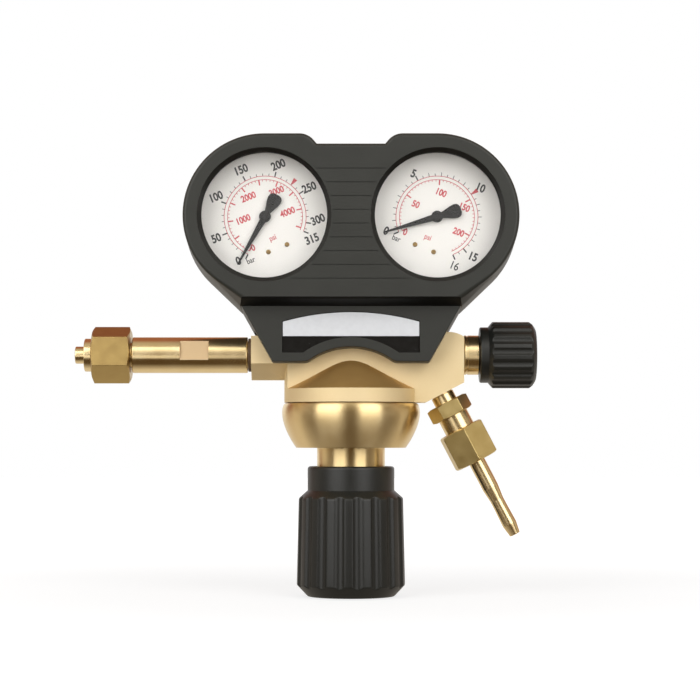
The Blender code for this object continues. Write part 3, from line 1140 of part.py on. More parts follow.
def tube_start():
    """Where the pressure tube leaves the socket block, as (x, z) and its angle from below."""
    x = SOCKET_HALF_WIDTH + 2 * GAP
    angle = math.asin(x / TUBE_SPRING_RADIUS)
    return x, -TUBE_SPRING_RADIUS * math.cos(angle), angle


def tube_tip():
    """The middle of the pressure tube's solid tip, as (x, z)."""
    angle = tube_start()[2] + TUBE_SPRING_SWEEP * (1 - 0.5 / TUBE_SPRING_STEPS)
    return TUBE_SPRING_RADIUS * math.sin(angle), -TUBE_SPRING_RADIUS * math.cos(angle)


def make_bourdon_tube(side, gauge):
    """The curved pressure tube: a flat hollow tube, open at the block and shut at its tip."""
    start = tube_start()[2]
    steps = TUBE_SPRING_STEPS
    shape = bmesh.new()
    outer_rings, inner_rings = [], []
    for index in range(steps + 1):
        angle = start + TUBE_SPRING_SWEEP * index / steps
        outward = Vector((math.sin(angle), 0, -math.cos(angle)))
        middle = outward * TUBE_SPRING_RADIUS
        for rings, wall in ((outer_rings, 0.0), (inner_rings, TUBE_SPRING_WALL)):
            half_width = TUBE_SPRING_HALF_WIDTH - wall
            half_thickness = TUBE_SPRING_HALF_THICKNESS - wall
            flat = half_width - half_thickness * 0.6
            section = [(half_thickness, -flat), (half_thickness, flat), (0.0, half_width),
                       (-half_thickness, flat), (-half_thickness, -flat), (0.0, -half_width)]
            if rings is outer_rings or index < steps:
                rings.append([shape.verts.new(middle + outward * a + Vector((0, b, 0)))
                              for a, b in section])
    for rings in (outer_rings, inner_rings):
        for ring, following in zip(rings, rings[1:]):
            for spot in range(6):
                nearby = (spot + 1) % 6
                shape.faces.new((ring[spot], ring[nearby], following[nearby], following[spot]))
    for spot in range(6):
        nearby = (spot + 1) % 6
        shape.faces.new((outer_rings[0][spot], outer_rings[0][nearby],
                         inner_rings[0][nearby], inner_rings[0][spot]))
    shape.faces.new(outer_rings[-1])
    shape.faces.new(inner_rings[-1])
    tube = place(side + "_bourdon_tube", shape, tube_bronze, gauge)
    tip_x, tip_z = tube_tip()
    half = TIP_LUG_HALF_WIDTH
    square = [(tip_x - half, tip_z - half), (tip_x + half, tip_z - half),
              (tip_x + half, tip_z + half), (tip_x - half, tip_z + half)]
    lug = panel(square, LINK_BACK + GAP, TUBE_SPRING_HALF_WIDTH / 3)
    combine(tube, place(side + "_tip_lug", lug, None, gauge, FACING), 'UNION')


def make_movement(side, gauge):
    """Plates, toothed sector, pinion arbor and pointer of one gauge."""
    pivot_x = GEAR_CENTRES * math.sin(SECTOR_BEARING)
    pivot_z = GEAR_CENTRES * math.cos(SECTOR_BEARING)
    half = MOVEMENT_HALF_WIDTH
    plate_end = MOVEMENT_FRONT + MOVEMENT_PLATE_THICKNESS
    back_start = MOVEMENT_BACK - MOVEMENT_PLATE_THICKNESS
    plate = [(-half, MOVEMENT_FOOT), (half, MOVEMENT_FOOT), (half, MOVEMENT_TOP),
             (-half, MOVEMENT_TOP)]
    frame_piece = place(side + "_movement_frame", panel(plate, MOVEMENT_FRONT, plate_end),
                        brass, gauge, FACING)
    back_plate = place(side + "_movement_back", panel(plate, back_start, MOVEMENT_BACK), None,
                       gauge, FACING)
    combine(frame_piece, back_plate, 'UNION')
    pillar_x = half - 1.5 * PILLAR_RADIUS
    low_pillar = MOVEMENT_FOOT + 2 * PILLAR_RADIUS
    high_pillar = MOVEMENT_TOP - 2 * PILLAR_RADIUS
    for name, x, z in (("a", -pillar_x, high_pillar), ("b", pillar_x, high_pillar),
                       ("c", -pillar_x, low_pillar), ("d", pillar_x, low_pillar)):
        spot = Matrix.Translation((x, 0, z)) @ ALONG_Y
        pillar = turned([(plate_end - GAP, 0.0), (plate_end - GAP, PILLAR_RADIUS),
                         (back_start + GAP, PILLAR_RADIUS), (back_start + GAP, 0.0)], TINY_STEPS)
        combine(frame_piece, place(side + "_pillar_" + name, pillar, None, gauge, spot), 'UNION')
    for name, x, z in (("arbor", 0.0, 0.0), ("sector", pivot_x, pivot_z)):
        spot = Matrix.Translation((x, 0, z)) @ ALONG_Y
        drill(frame_piece, side + "_hole_" + name,
              [(MOVEMENT_FRONT - OVERSHOOT, 0.0), (MOVEMENT_FRONT - OVERSHOOT, ARBOR_HOLE_RADIUS),
               (MOVEMENT_BACK + OVERSHOOT, ARBOR_HOLE_RADIUS), (MOVEMENT_BACK + OVERSHOOT, 0.0)],
              spot, gauge, TINY_STEPS)

    arbor_front = DIAL_FRONT - POINTER_LIFT - POINTER_THICKNESS - GAP
    arbor = place(side + "_pointer_arbor",
                  turned([(arbor_front, 0.0), (arbor_front, ARBOR_RADIUS),
                          (MOVEMENT_BACK - GAP, ARBOR_RADIUS), (MOVEMENT_BACK - GAP, 0.0)],
                         TINY_STEPS),
                  steel, gauge, ALONG_Y)
    mesh_angle = math.pi / 2 - SECTOR_BEARING
    pinion = gear_outline(PINION_TEETH, GEAR_MODULE, PINION_TEETH, mesh_angle)
    wheel = place(side + "_pinion", panel(pinion, GEAR_PLANE - PINION_THICKNESS / 2,
                                          GEAR_PLANE + PINION_THICKNESS / 2),
                  None, gauge, FACING)
    combine(arbor, wheel, 'UNION')

    pitch = 2 * math.pi / SECTOR_TEETH
    last = mesh_angle + math.pi + pitch * SECTOR_TEETH_PAST_REST
    first = last - pitch * (SECTOR_TEETH_CUT - 1)
    arc = gear_outline(SECTOR_TEETH, GEAR_MODULE, SECTOR_TEETH_CUT, first)
    hub_radius = 3 * ARBOR_RADIUS
    tail_angle = math.pi / 2 - SECTOR_TAIL_BEARING + 2 * math.pi
    tail = circle(LINK_HALF_WIDTH, 6, (SECTOR_TAIL_REACH * math.cos(tail_angle),
                                       SECTOR_TAIL_REACH * math.sin(tail_angle)),
                  tail_angle - math.pi / 2, math.pi)
    web = [(hub_radius * math.cos(tail_angle - math.radians(50)),
            hub_radius * math.sin(tail_angle - math.radians(50)))]
    web += tail
    web += circle(hub_radius, 5, start=tail_angle + math.radians(50), sweep=math.radians(120))
    pivot = Matrix.Translation((pivot_x, 0, pivot_z))
    sector = place(side + "_sector_gear",
                   panel(arc + web, GEAR_PLANE - SECTOR_THICKNESS / 2,
                         GEAR_PLANE + SECTOR_THICKNESS / 2), brass, gauge, pivot @ FACING)
    shaft = turned([(MOVEMENT_FRONT + GAP, 0.0), (MOVEMENT_FRONT + GAP, ARBOR_RADIUS),
                    (MOVEMENT_BACK - GAP, ARBOR_RADIUS), (MOVEMENT_BACK - GAP, 0.0)],
                   TINY_STEPS)
    combine(sector, place(side + "_sector_shaft", shaft, None, gauge, pivot @ ALONG_Y), 'UNION')

    tail_x = pivot_x + SECTOR_TAIL_REACH * math.sin(SECTOR_TAIL_BEARING)
    tail_z = pivot_z + SECTOR_TAIL_REACH * math.cos(SECTOR_TAIL_BEARING)
    tip_x, tip_z = tube_tip()
    heading = math.atan2(tip_z - tail_z, tip_x - tail_x)
    link = circle(LINK_HALF_WIDTH, 6, (tip_x, tip_z), heading - math.pi / 2, math.pi)
    link += circle(LINK_HALF_WIDTH, 6, (tail_x, tail_z), heading + math.pi / 2, math.pi)
    place(side + "_gauge_link", panel(link, LINK_FRONT, LINK_BACK), brass, gauge, FACING)

    back = DIAL_FRONT - POINTER_LIFT
    aim = Matrix.Rotation(math.pi / 2 + POINTER_REST_ANGLE, 4, 'Y')
    pointer = place(side + "_gauge_pointer",
                    panel(pointer_outline(), back - POINTER_THICKNESS, back),
                    pointer_black, gauge, aim @ FACING)
    drill(pointer, side + "_pointer_hole",
          [(back - OVERSHOOT, 0.0), (back - OVERSHOOT, ARBOR_RADIUS + FINE_GAP),
           (back + OVERSHOOT, ARBOR_RADIUS + FINE_GAP), (back + OVERSHOOT, 0.0)], ALONG_Y, gauge,
          TINY_STEPS)


def cover_outline(ledge_z, ledge_half_width):
    """The gauge housing from the front, counter-clockwise from its lower right corner. A
    straight side runs from that corner to touch the round end."""
    out, down = ledge_half_width - GAUGE_X, ledge_z - GAUGE_Z
    touch = math.atan2(down, out) + math.acos(COVER_RADIUS / math.hypot(out, down))
    right = [(ledge_half_width, ledge_z)]
    right += circle(COVER_RADIUS, 11, (GAUGE_X, GAUGE_Z), touch, math.pi / 2 - touch)
    right += [(COVER_NOTCH_HALF_WIDTH + COVER_NOTCH_SLOPE, COVER_TOP),
              (COVER_NOTCH_HALF_WIDTH + COVER_NOTCH_SLOPE / 2, COVER_TOP - COVER_NOTCH_DEPTH * 0.4),
              (COVER_NOTCH_HALF_WIDTH, COVER_TOP - COVER_NOTCH_DEPTH)]
    return right + [(-x, z) for x, z in reversed(right)]


def panel_outline(top):
    """The lower panel, with the arch above the bonnet cut out."""
    foot = math.acos((PANEL_BOTTOM_Z - PANEL_ARCH_CENTRE_Z) / PANEL_ARCH_RADIUS)
    arch = circle(PANEL_ARCH_RADIUS, 8, centre=(0.0, PANEL_ARCH_CENTRE_Z),
                  start=math.pi / 2 + foot, sweep=-2 * foot)
    top_half = PANEL_SHOULDER_HALF_WIDTH - PANEL_TOP_INDENT
    return [(PANEL_SHOULDER_HALF_WIDTH, PANEL_SHOULDER_Z), (top_half, top), (-top_half, top),
            (-PANEL_SHOULDER_HALF_WIDTH, PANEL_SHOULDER_Z),
            (-PANEL_BOTTOM_HALF_WIDTH, PANEL_BOTTOM_Z)] \
        + arch + [(PANEL_BOTTOM_HALF_WIDTH, PANEL_BOTTOM_Z)]


def housing(depth, wall=0.0):
    """The gauge housing's outline at one depth: the sides lean outwards to the back, and the
    ledge drops quickly behind the front panel."""
    if depth < LABEL_PANEL_FRONT:
        share = (depth - COVER_FRONT) / (LABEL_PANEL_FRONT - COVER_FRONT)
    else:
        share = 1.0
    outline = cover_outline(FRONT_LEDGE_Z + (LEDGE_Z - FRONT_LEDGE_Z) * share,
                            FRONT_LEDGE_HALF_WIDTH
                            + (LEDGE_HALF_WIDTH - FRONT_LEDGE_HALF_WIDTH) * share)
    return inset(outline, wall - COVER_DRAFT * (depth - COVER_FRONT))


def lower_panel(depth, wall=0.0, top=LEDGE_Z + PANEL_TOP_INDENT):
    return inset(panel_outline(top), wall - COVER_DRAFT * (depth - LABEL_PANEL_FRONT))


def stacked(layers):
    """Join outlines with equal numbers of points, given as (outline, depth), front to back."""
    shape = bmesh.new()
    rings = [[shape.verts.new((x, z, -depth)) for x, z in outline] for outline, depth in layers]
    for ring, following in zip(rings, rings[1:]):
        for index in range(len(ring)):
            nearby = (index + 1) % len(ring)
            shape.faces.new((ring[index], ring[nearby], following[nearby], following[index]))
    shape.faces.new(rings[0])
    shape.faces.new(rings[-1])
    return shape


def rounded_front(section, front, edge):
    """Layers that round the front rim over."""
    return [(section(front, edge), front),
            (section(front + 0.3 * edge, 0.3 * edge), front + 0.3 * edge),
            (section(front + edge, 0.0), front + edge)]


def rounded_back(section, back, edge):
    return [(section(back - edge, 0.0), back - edge),
            (section(back, 0.3 * edge), back - 0.3 * edge), (section(back, edge), back)]


def recess_outline(bottom_z, side_gap=0.0):
    """The label's recess: arched above, and following the arch below."""
    half = RECESS_HALF_WIDTH - side_gap
    rise = RECESS_TOP_Z - RECESS_SIDE_Z
    radius = (half ** 2 + rise ** 2) / (2 * rise)
    reach = math.asin(half / radius)
    top = circle(radius, 8, centre=(0.0, RECESS_TOP_Z - side_gap - radius),
                 start=math.pi / 2 - reach, sweep=2 * reach)
    if bottom_z > RECESS_BOTTOM_Z + GAP:
        return top + [(-half, bottom_z), (half, bottom_z)]
    foot = math.acos((bottom_z - PANEL_ARCH_CENTRE_Z) / RECESS_ARCH_RADIUS)
    arch = circle(RECESS_ARCH_RADIUS, 6, centre=(0.0, PANEL_ARCH_CENTRE_Z),
                  start=math.pi / 2 + foot, sweep=-2 * foot)
    return top + [(-half, bottom_z)] + arch + [(half, bottom_z)]


def screw_places():
    return {"top": (0.0, TOP_SCREW_Z), "centre": (0.0, CENTRE_SCREW_Z),
            "left": (-SIDE_SCREW_X, SIDE_SCREW_Z), "right": (SIDE_SCREW_X, SIDE_SCREW_Z)}


def rib_cutter(frame):
    """Fine level grooves between the two gauges, kept clear of the rings round them."""
    shape = bmesh.new()
    for index in range(RIB_COUNT):
        z = RIB_TOP_Z - RIB_PITCH * index
        across = math.sqrt(RIB_CLEAR_RADIUS ** 2 - (z - GAUGE_Z) ** 2)
        half = GAUGE_X - across
        bmesh.ops.create_cube(shape, size=1.0, matrix=Matrix.Translation((0, COVER_FRONT, z))
                              @ Matrix.Diagonal((2 * half, 2 * RIB_GROOVE_DEPTH,
                                                 RIB_GROOVE_WIDTH, 1)))
    return place("cover_ribs", shape, None, frame)


def make_covers(frame):
    bend = LABEL_PANEL_FRONT
    past = COVER_SPLIT + COVER_WALL
    shell = rounded_front(housing, COVER_FRONT, COVER_EDGE)
    shell += [(housing(bend), bend), (housing(COVER_SPLIT), COVER_SPLIT)]
    front = place("front_cover", stacked(shell), black_plastic, frame, FACING)
    lower = rounded_front(lower_panel, bend, LABEL_PANEL_EDGE)
    lower += [(lower_panel(COVER_SPLIT), COVER_SPLIT)]
    combine(front, place("cover_lower_front", stacked(lower), None, frame, FACING), 'UNION')

    inner_front = COVER_FRONT + COVER_WALL
    inner = [(housing(inner_front, COVER_WALL), inner_front),
             (housing(bend, COVER_WALL), bend), (housing(past, COVER_WALL), past)]
    combine(front, place("cover_inner_front", stacked(inner), None, frame, FACING))
    tall = LEDGE_Z + PANEL_TOP_INDENT + 2 * COVER_WALL
    inner_bend = bend + COVER_WALL
    lower_inner = [(lower_panel(inner_bend, COVER_WALL, tall), inner_bend),
                   (lower_panel(past, COVER_WALL, tall), past)]
    combine(front, place("cover_lower_inner", stacked(lower_inner), None, frame, FACING))

    for side, x in (("left", -GAUGE_X), ("right", GAUGE_X)):
        spot = Matrix.Translation((x, 0, GAUGE_Z)) @ ALONG_Y
        mouth = COVER_FRONT - OVERSHOOT
        flare = WINDOW_OPENING_RADIUS + OPENING_BEVEL + OVERSHOOT
        drill(front, "cover_opening_" + side,
              [(mouth, 0.0), (mouth, flare), (COVER_FRONT + OPENING_BEVEL, WINDOW_OPENING_RADIUS),
               (COVER_FRONT + COVER_WALL + OVERSHOOT, WINDOW_OPENING_RADIUS),
               (COVER_FRONT + COVER_WALL + OVERSHOOT, 0.0)], spot, frame, GAUGE_STEPS)
    combine(front, rib_cutter(frame))

    recess = place("label_recess",
                   panel(recess_outline(RECESS_BOTTOM_Z), LABEL_PANEL_FRONT - OVERSHOOT,
                         LABEL_PANEL_FRONT + RECESS_DEPTH), None, frame, FACING)
    combine(front, recess)
    label_back = LABEL_PANEL_FRONT + RECESS_DEPTH - GAP
    place("label_plate",
          panel(recess_outline(LABEL_BOTTOM_Z, GAP), label_back - LABEL_THICKNESS, label_back),
          label_white, frame, FACING)

    rear_start = COVER_SPLIT + GAP
    shell = [(housing(rear_start), rear_start)] + rounded_back(housing, COVER_BACK, COVER_EDGE)
    rear = place("rear_cover", stacked(shell), black_plastic, frame, FACING)
    lower = [(lower_panel(rear_start), rear_start)]
    lower += rounded_back(lower_panel, COVER_BACK - GAP / 2, LABEL_PANEL_EDGE)
    combine(rear, place("cover_lower_rear", stacked(lower), None, frame, FACING), 'UNION')
    inner_back = COVER_BACK - COVER_WALL
    before = COVER_SPLIT - COVER_WALL
    inner = [(housing(before, COVER_WALL), before), (housing(inner_back, COVER_WALL), inner_back)]
    combine(rear, place("cover_inner_rear", stacked(inner), None, frame, FACING))
    lower_inner = [(lower_panel(before, COVER_WALL, tall), before),
                   (lower_panel(inner_back - GAP, COVER_WALL, tall), inner_back - GAP)]
    combine(rear, place("cover_lower_inner_rear", stacked(lower_inner), None, frame, FACING))

    body_space = BODY_HALF_DEPTH + 2 * GAP
    low, high = BODY_BOTTOM - 0.004, OUTLET_ARM_TOP + 2 * GAP
    reach = OUTLET_ARM_REACH + 0.02
    opening = [(-reach, low), (reach, low), (reach, high), (-reach, high)]
    front_space = place("cover_body_space_front",
                        panel(opening, -body_space, COVER_SPLIT + OVERSHOOT), None, frame, FACING)
    rear_space = place("cover_body_space_rear",
                       panel(opening, COVER_SPLIT - OVERSHOOT, body_space), None, frame, FACING)
    combine(front, front_space)
    combine(rear, rear_space)

    around = RELIEF_HEAD_RADIUS + 2 * GAP
    slot = circle(around, 12, (RELIEF_X, 0.0), 0.0, math.pi)
    slot += [(RELIEF_X - around, low), (RELIEF_X + around, low)]
    slot_shape = panel(slot, body_space - OVERSHOOT, COVER_BACK + OVERSHOOT)
    combine(rear, place("relief_valve_slot", slot_shape, None, frame, FACING))

    make_cover_screws(front, rear, frame)


def make_cover_screws(front, rear, frame):
    """Bosses in the front cover, hollow posts in the rear one, and a screw through each."""
    head_seat = COVER_BACK - SCREW_HEAD_HEIGHT - GAP
    hole = SCREW_RADIUS + GAP
    well = SCREW_HEAD_RADIUS + GAP
    pilot_end = head_seat - SCREW_LENGTH - GAP
    bosses, pilots, posts, holes = [], [], [], []
    for name, (x, z) in screw_places().items():
        spot = Matrix.Translation((x, 0, z)) @ ALONG_Y
        root = (COVER_FRONT if z > LEDGE_Z else LABEL_PANEL_FRONT) + COVER_WALL - GAP
        top = COVER_SPLIT - GAP
        bosses.append(([(root, 0.0), (root, BOSS_RADIUS), (top, BOSS_RADIUS), (top, 0.0)], spot))
        pilots.append(([(pilot_end, 0.0), (pilot_end, hole), (COVER_SPLIT, hole),
                        (COVER_SPLIT, 0.0)], spot))
        foot = COVER_SPLIT + 2 * GAP
        end = COVER_BACK - COVER_WALL + GAP
        posts.append(([(foot, 0.0), (foot, BOSS_RADIUS), (end, BOSS_RADIUS), (end, 0.0)], spot))
        holes.append(([(COVER_SPLIT, 0.0), (COVER_SPLIT, hole), (head_seat, hole),
                       (head_seat, well), (COVER_BACK + GAP, well), (COVER_BACK + GAP, 0.0)],
                      spot))
        shank_end = head_seat - SCREW_LENGTH + GAP
        head = head_seat + GAP
        place("cover_screw_" + name,
              turned([(shank_end, 0.0), (shank_end, SCREW_RADIUS), (head, SCREW_RADIUS),
                      (head, SCREW_HEAD_RADIUS), (head_seat + SCREW_HEAD_HEIGHT, SCREW_HEAD_RADIUS),
                      (head_seat + SCREW_HEAD_HEIGHT, 0.0)], TINY_STEPS), steel, frame, spot)
    combine(front, place("front_bosses", gathered(bosses, TINY_STEPS), None, frame), 'UNION')
    combine(front, place("front_pilot_holes", gathered(pilots, TINY_STEPS), None, frame))
    combine(rear, place("rear_posts", gathered(posts, TINY_STEPS), None, frame), 'UNION')
    combine(rear, place("rear_screw_holes", gathered(holes, TINY_STEPS), None, frame))


clear_scene()

brass = finish("satin_brass", (0.66, 0.47, 0.20), 0.32, 1.0)
nut_brass = finish("turned_brass", (0.62, 0.47, 0.17), 0.28, 1.0)
tube_bronze = finish("tube_bronze", (0.55, 0.33, 0.14), 0.30, 1.0)
sintered = finish("sintered_bronze", (0.45, 0.30, 0.14), 0.75, 0.8)
steel = finish("plated_steel", (0.55, 0.55, 0.54), 0.35, 1.0)
steel_black = finish("black_steel", (0.03, 0.03, 0.03), 0.45, 0.6)
aluminium = finish("aluminium", (0.70, 0.70, 0.71), 0.40, 1.0)
black_plastic = finish("black_plastic", (0.045, 0.048, 0.040), 0.42)
white_plastic = finish("white_plastic", (0.80, 0.79, 0.75), 0.45)
rubber = finish("rubber", (0.03, 0.03, 0.03), 0.80)
washer_grey = finish("sealing_washer", (0.30, 0.26, 0.20), 0.60)
dial_white = finish("dial_white", (0.85, 0.84, 0.80), 0.50)
pointer_black = finish("pointer_black", (0.03, 0.03, 0.03), 0.50)
label_white = finish("label_white", (0.82, 0.82, 0.83), 0.40)
clear = finish("clear_window", (0.95, 0.96, 0.96), 0.05, 0.0, 0.15)

regulator = empty("regulator", matrix=Matrix.Translation((-NOSE_TIP, 0, 0)))
hose = empty("hose_axis", regulator,
             Matrix.Translation((HOSE_FACE_X, 0, HOSE_FACE_Z))
             @ Matrix.Rotation(math.pi - HOSE_TILT, 4, 'Y'))
gauge_axes = {
    "high_pressure": empty("high_pressure_gauge_axis", regulator,
                           Matrix.Translation((-GAUGE_X, 0, GAUGE_Z))
                           @ Matrix.Rotation(-GAUGE_TILT, 4, 'Y')),
    "delivery": empty("delivery_gauge_axis", regulator,
                      Matrix.Translation((GAUGE_X, 0, GAUGE_Z))
                      @ Matrix.Rotation(GAUGE_TILT, 4, 'Y')),
}

make_body(regulator, hose, gauge_axes)
make_diaphragm_stack(regulator)
make_bonnet(regulator)
make_valve(regulator)
make_adjusting_knob(regulator)
make_inlet(regulator)
make_shut_off_valve(regulator)
make_hose_outlet(hose)
make_relief_valve(regulator)
for side, gauge in gauge_axes.items():
    make_gauge(side, gauge)
make_covers(regulator)
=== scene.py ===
import json
import math

import bmesh
import bpy
from mathutils import Matrix, Vector


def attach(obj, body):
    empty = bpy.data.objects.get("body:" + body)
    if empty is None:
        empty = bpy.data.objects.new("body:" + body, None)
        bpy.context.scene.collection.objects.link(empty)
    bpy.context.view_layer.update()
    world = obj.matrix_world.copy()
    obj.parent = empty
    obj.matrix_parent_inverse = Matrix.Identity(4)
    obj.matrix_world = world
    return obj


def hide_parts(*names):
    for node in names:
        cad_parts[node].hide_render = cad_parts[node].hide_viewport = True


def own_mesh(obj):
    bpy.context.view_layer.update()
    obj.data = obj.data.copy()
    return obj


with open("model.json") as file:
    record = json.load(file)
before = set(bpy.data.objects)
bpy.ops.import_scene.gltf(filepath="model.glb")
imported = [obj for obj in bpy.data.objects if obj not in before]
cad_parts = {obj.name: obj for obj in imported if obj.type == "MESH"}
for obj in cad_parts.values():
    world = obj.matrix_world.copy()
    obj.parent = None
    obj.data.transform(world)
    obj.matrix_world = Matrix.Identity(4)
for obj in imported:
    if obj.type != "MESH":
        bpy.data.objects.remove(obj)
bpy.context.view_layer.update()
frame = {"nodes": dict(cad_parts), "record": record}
nodes = frame["nodes"]
print("frame loaded:", len(nodes), "nodes")

mm = 0.001
upright = Matrix.Translation((122.9 * mm, 0, 0))  # where the inlet's axis meets the bonnet's
alongX = Matrix.Rotation(math.radians(90), 4, "Y")
alongY = Matrix.Rotation(math.radians(-90), 4, "X")
facing = Matrix.Rotation(math.radians(90), 4, "X")  # a flat shape stood up, to look at the viewer
sideways = upright @ alongX  # along the inlet, to the outlet valve
standing = upright @ facing


def toLinear(hexColour):
    parts = [int(hexColour[i:i + 2], 16) / 255 for i in (1, 3, 5)]
    return tuple(p / 12.92 if p <= 0.04045 else ((p + 0.055) / 1.055) ** 2.4 for p in parts) + (1.0,)


def addNode(tree, kind, settings=None, links=None):
    node = tree.nodes.new(kind)
    for key, value in (settings or {}).items():
        if isinstance(key, int) or key in node.inputs:
            node.inputs[key].default_value = value
        else:
            setattr(node, key, value)
    for socket, source in (links or {}).items():  # a node stands for its first output
        tree.links.new(getattr(source, "outputs", [source])[0], node.inputs[socket])
    return node


def newMaterial(name, settings):
    material = bpy.data.materials.new(name)
    material.use_nodes = True
    tree = material.node_tree
    shader = tree.nodes["Principled BSDF"]
    for key, value in settings.items():
        shader.inputs[key].default_value = value
    return material, tree, shader, addNode(tree, "ShaderNodeTexCoord").outputs["Object"]


def shift(x=0.0, y=0.0, z=0.0):
    return Matrix.Translation((x * mm, y * mm, z * mm))


def fromFront(x, z):
    # the local Z runs to the back, from a spot that the viewer sees at (x, z)
    return upright @ shift(x, 0, z) @ alongY


def newObject(name, data):
    made = bpy.data.objects.new(name, data)
    bpy.context.scene.collection.objects.link(made)
    return made


def asPiece(name, shape, place, look):
    bmesh.ops.recalc_face_normals(shape, faces=shape.faces)
    mesh = bpy.data.meshes.new(name)
    shape.to_mesh(mesh)
    shape.free()
    if look:
        mesh.materials.append(look)
    piece = newObject(name, mesh)
    piece.matrix_world = place
    return piece


def softCorners(points, steps=4):
    # points are (a, b) or (a, b, radius): the corner is rounded with that radius
    rounded = []
    count = len(points)
    for i, point in enumerate(points):
        radius = point[2] if len(point) > 2 else 0.0
        here = Vector(point[:2])
        if not radius or i in (0, count - 1) and points[0][1] == 0.0:
            rounded.append(tuple(here))
            continue
        back = Vector(points[i - 1][:2]) - here
        ahead = Vector(points[(i + 1) % count][:2]) - here
        room = min(back.length, ahead.length) * 0.49
        back.normalize()
        ahead.normalize()
        half = back.angle(ahead) / 2
        reach = min(radius / math.tan(half), room)
        for k in range(steps + 1):
            t = k / steps
            start, end = here + back * reach, here + ahead * reach
            rounded.append(tuple(start * (1 - t) ** 2 + here * 2 * t * (1 - t) + end * t ** 2))
    return rounded


def ringShape(rings, closed):
    # joins rings of points into one closed skin; a ring of one point is a tip
    shape = bmesh.new()
    made = [[shape.verts.new(Vector(point) * mm) for point in ring] for ring in rings]
    pairs = list(zip(made, made[1:]))
    if closed:
        pairs.append((made[-1], made[0]))
    for one, two in pairs:
        count = max(len(one), len(two))
        for k in range(count):
            n = (k + 1) % count
            corners = [one[k % len(one)], one[n % len(one)], two[n % len(two)], two[k % len(two)]]
            shape.faces.new(list(dict.fromkeys(corners)))
    return shape


def turned(name, profile, place, look, steps=96):
    # profile is (distance, radius[, corner radius]) in mm, spun round the local Z
    points = softCorners(profile)
    rings = [[(x, y, distance) for x, y in (arc(radius, steps) if radius > 1e-6 else [(0.0, 0.0)])]
        for distance, radius in points]
    closed = points[0][1] > 1e-6 or points[-1][1] > 1e-6
    return asPiece(name, ringShape(rings, closed), place, look)


def rod(name, profile, place, look=None, steps=32):
    # a turned shape that is solid to its axis
    return turned(name, [(profile[0][0], 0.0)] + profile + [(profile[-1][0], 0.0)], place, look, steps)


def slab(name, outline, low, high, place, look=None):
    # a flat outline in mm, pulled from low to high along the local Z
    shape = bmesh.new()
    base = shape.faces.new([shape.verts.new((x * mm, y * mm, low * mm)) for x, y in outline])
    grown = bmesh.ops.extrude_face_region(shape, geom=[base])
    top = [item for item in grown["geom"] if isinstance(item, bmesh.types.BMVert)]
    bmesh.ops.translate(shape, verts=top, vec=(0, 0, (high - low) * mm))
    return asPiece(name, shape, place, look)


def applied(piece):
    graph = bpy.context.evaluated_depsgraph_get()
    mesh = bpy.data.meshes.new_from_object(piece.evaluated_get(graph))
    old = piece.data
    piece.modifiers.clear()
    piece.data = mesh
    bpy.data.meshes.remove(old)
    return piece


def carve(piece, cutters, operation="DIFFERENCE"):
    for cutter in cutters:
        step = piece.modifiers.new(cutter.name, "BOOLEAN")
        step.operation = operation
        step.solver = "EXACT"
        step.object = cutter
    bpy.context.view_layer.update()
    applied(piece)
    for cutter in cutters:
        bpy.data.objects.remove(cutter)
    return piece


def softEdges(piece, width, angle=30, segments=2):
    step = piece.modifiers.new("edges", "BEVEL")
    step.width = width * mm
    step.segments = segments
    step.limit_method = "ANGLE"
    step.angle_limit = math.radians(angle)
    step.harden_normals = False
    return applied(piece)


def smoothed(piece, angle=32):
    piece.data.shade_smooth()
    piece.data.set_sharp_from_angle(angle=math.radians(angle))
    step = piece.modifiers.new("flats stay flat", "WEIGHTED_NORMAL")
    step.keep_sharp = True
    step.weight = 60
    return piece


def settle(piece, body, *replaced):
    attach(piece, body)
    if replaced:
        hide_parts(*replaced)
    return piece


def arc(radius, steps, centre=(0.0, 0.0), start=0.0, sweep=360.0):
    whole = abs(sweep) > 359.99
    return [(centre[0] + radius * math.cos(math.radians(start + sweep * k / steps)),
        centre[1] + radius * math.sin(math.radians(start + sweep * k / steps)))
        for k in range(steps if whole else steps + 1)]


def oblong(long, half):
    return [(-long, -half), (long, -half), (long, half), (-long, half)]


def shades(hexColour, darker, lighter):
    base = toLinear(hexColour)[:3]
    return [tuple(min(c * share, 1.0) for c in base) + (1.0,) for share in (darker, lighter)]


def dress(tree, shader, tones, roughness, relief):
    # tones and roughness run between two values, relief has strength and height in mm; the last
    # item of each is the texture that drives it
    tone = addNode(tree, "ShaderNodeMix", {"data_type": "RGBA", 6: tones[0], 7: tones[1]},
        {0: tones[2]})
    rough = addNode(tree, "ShaderNodeMapRange", {"To Min": roughness[0], "To Max": roughness[1]},
        {"Value": roughness[2]})
    bump = addNode(tree, "ShaderNodeBump", {"Strength": relief[0], "Distance": relief[1] * mm},
        {"Height": relief[2]})
    for socket, source in (("Base Color", tone.outputs[2]), ("Roughness", rough.outputs[0]),
            ("Normal", bump.outputs[0])):
        tree.links.new(source, shader.inputs[socket])


# Forged brass, blasted and milled on its flats: broad soft highlights, a fine even grain from the
# blasting (0.25 mm in truth, drawn at 0.45 mm) and slight tonal clouds where it was handled.
def makeForgedBrass():
    material, tree, shader, place = newMaterial("forged blasted brass",
        {"Metallic": 1.0, "Roughness": 0.68})
    clouds, grain = (addNode(tree, "ShaderNodeTexNoise", {"Scale": 1 / (size * mm), "Detail": detail},
        {"Vector": place}).outputs["Fac"] for size, detail in ((18, 3.0), (0.45, 4.0)))
    dress(tree, shader, (toLinear("#ECD9AE"), toLinear("#F4E4C0"), clouds), (0.62, 0.74, grain),
        (0.35, 0.02, grain))
    return material


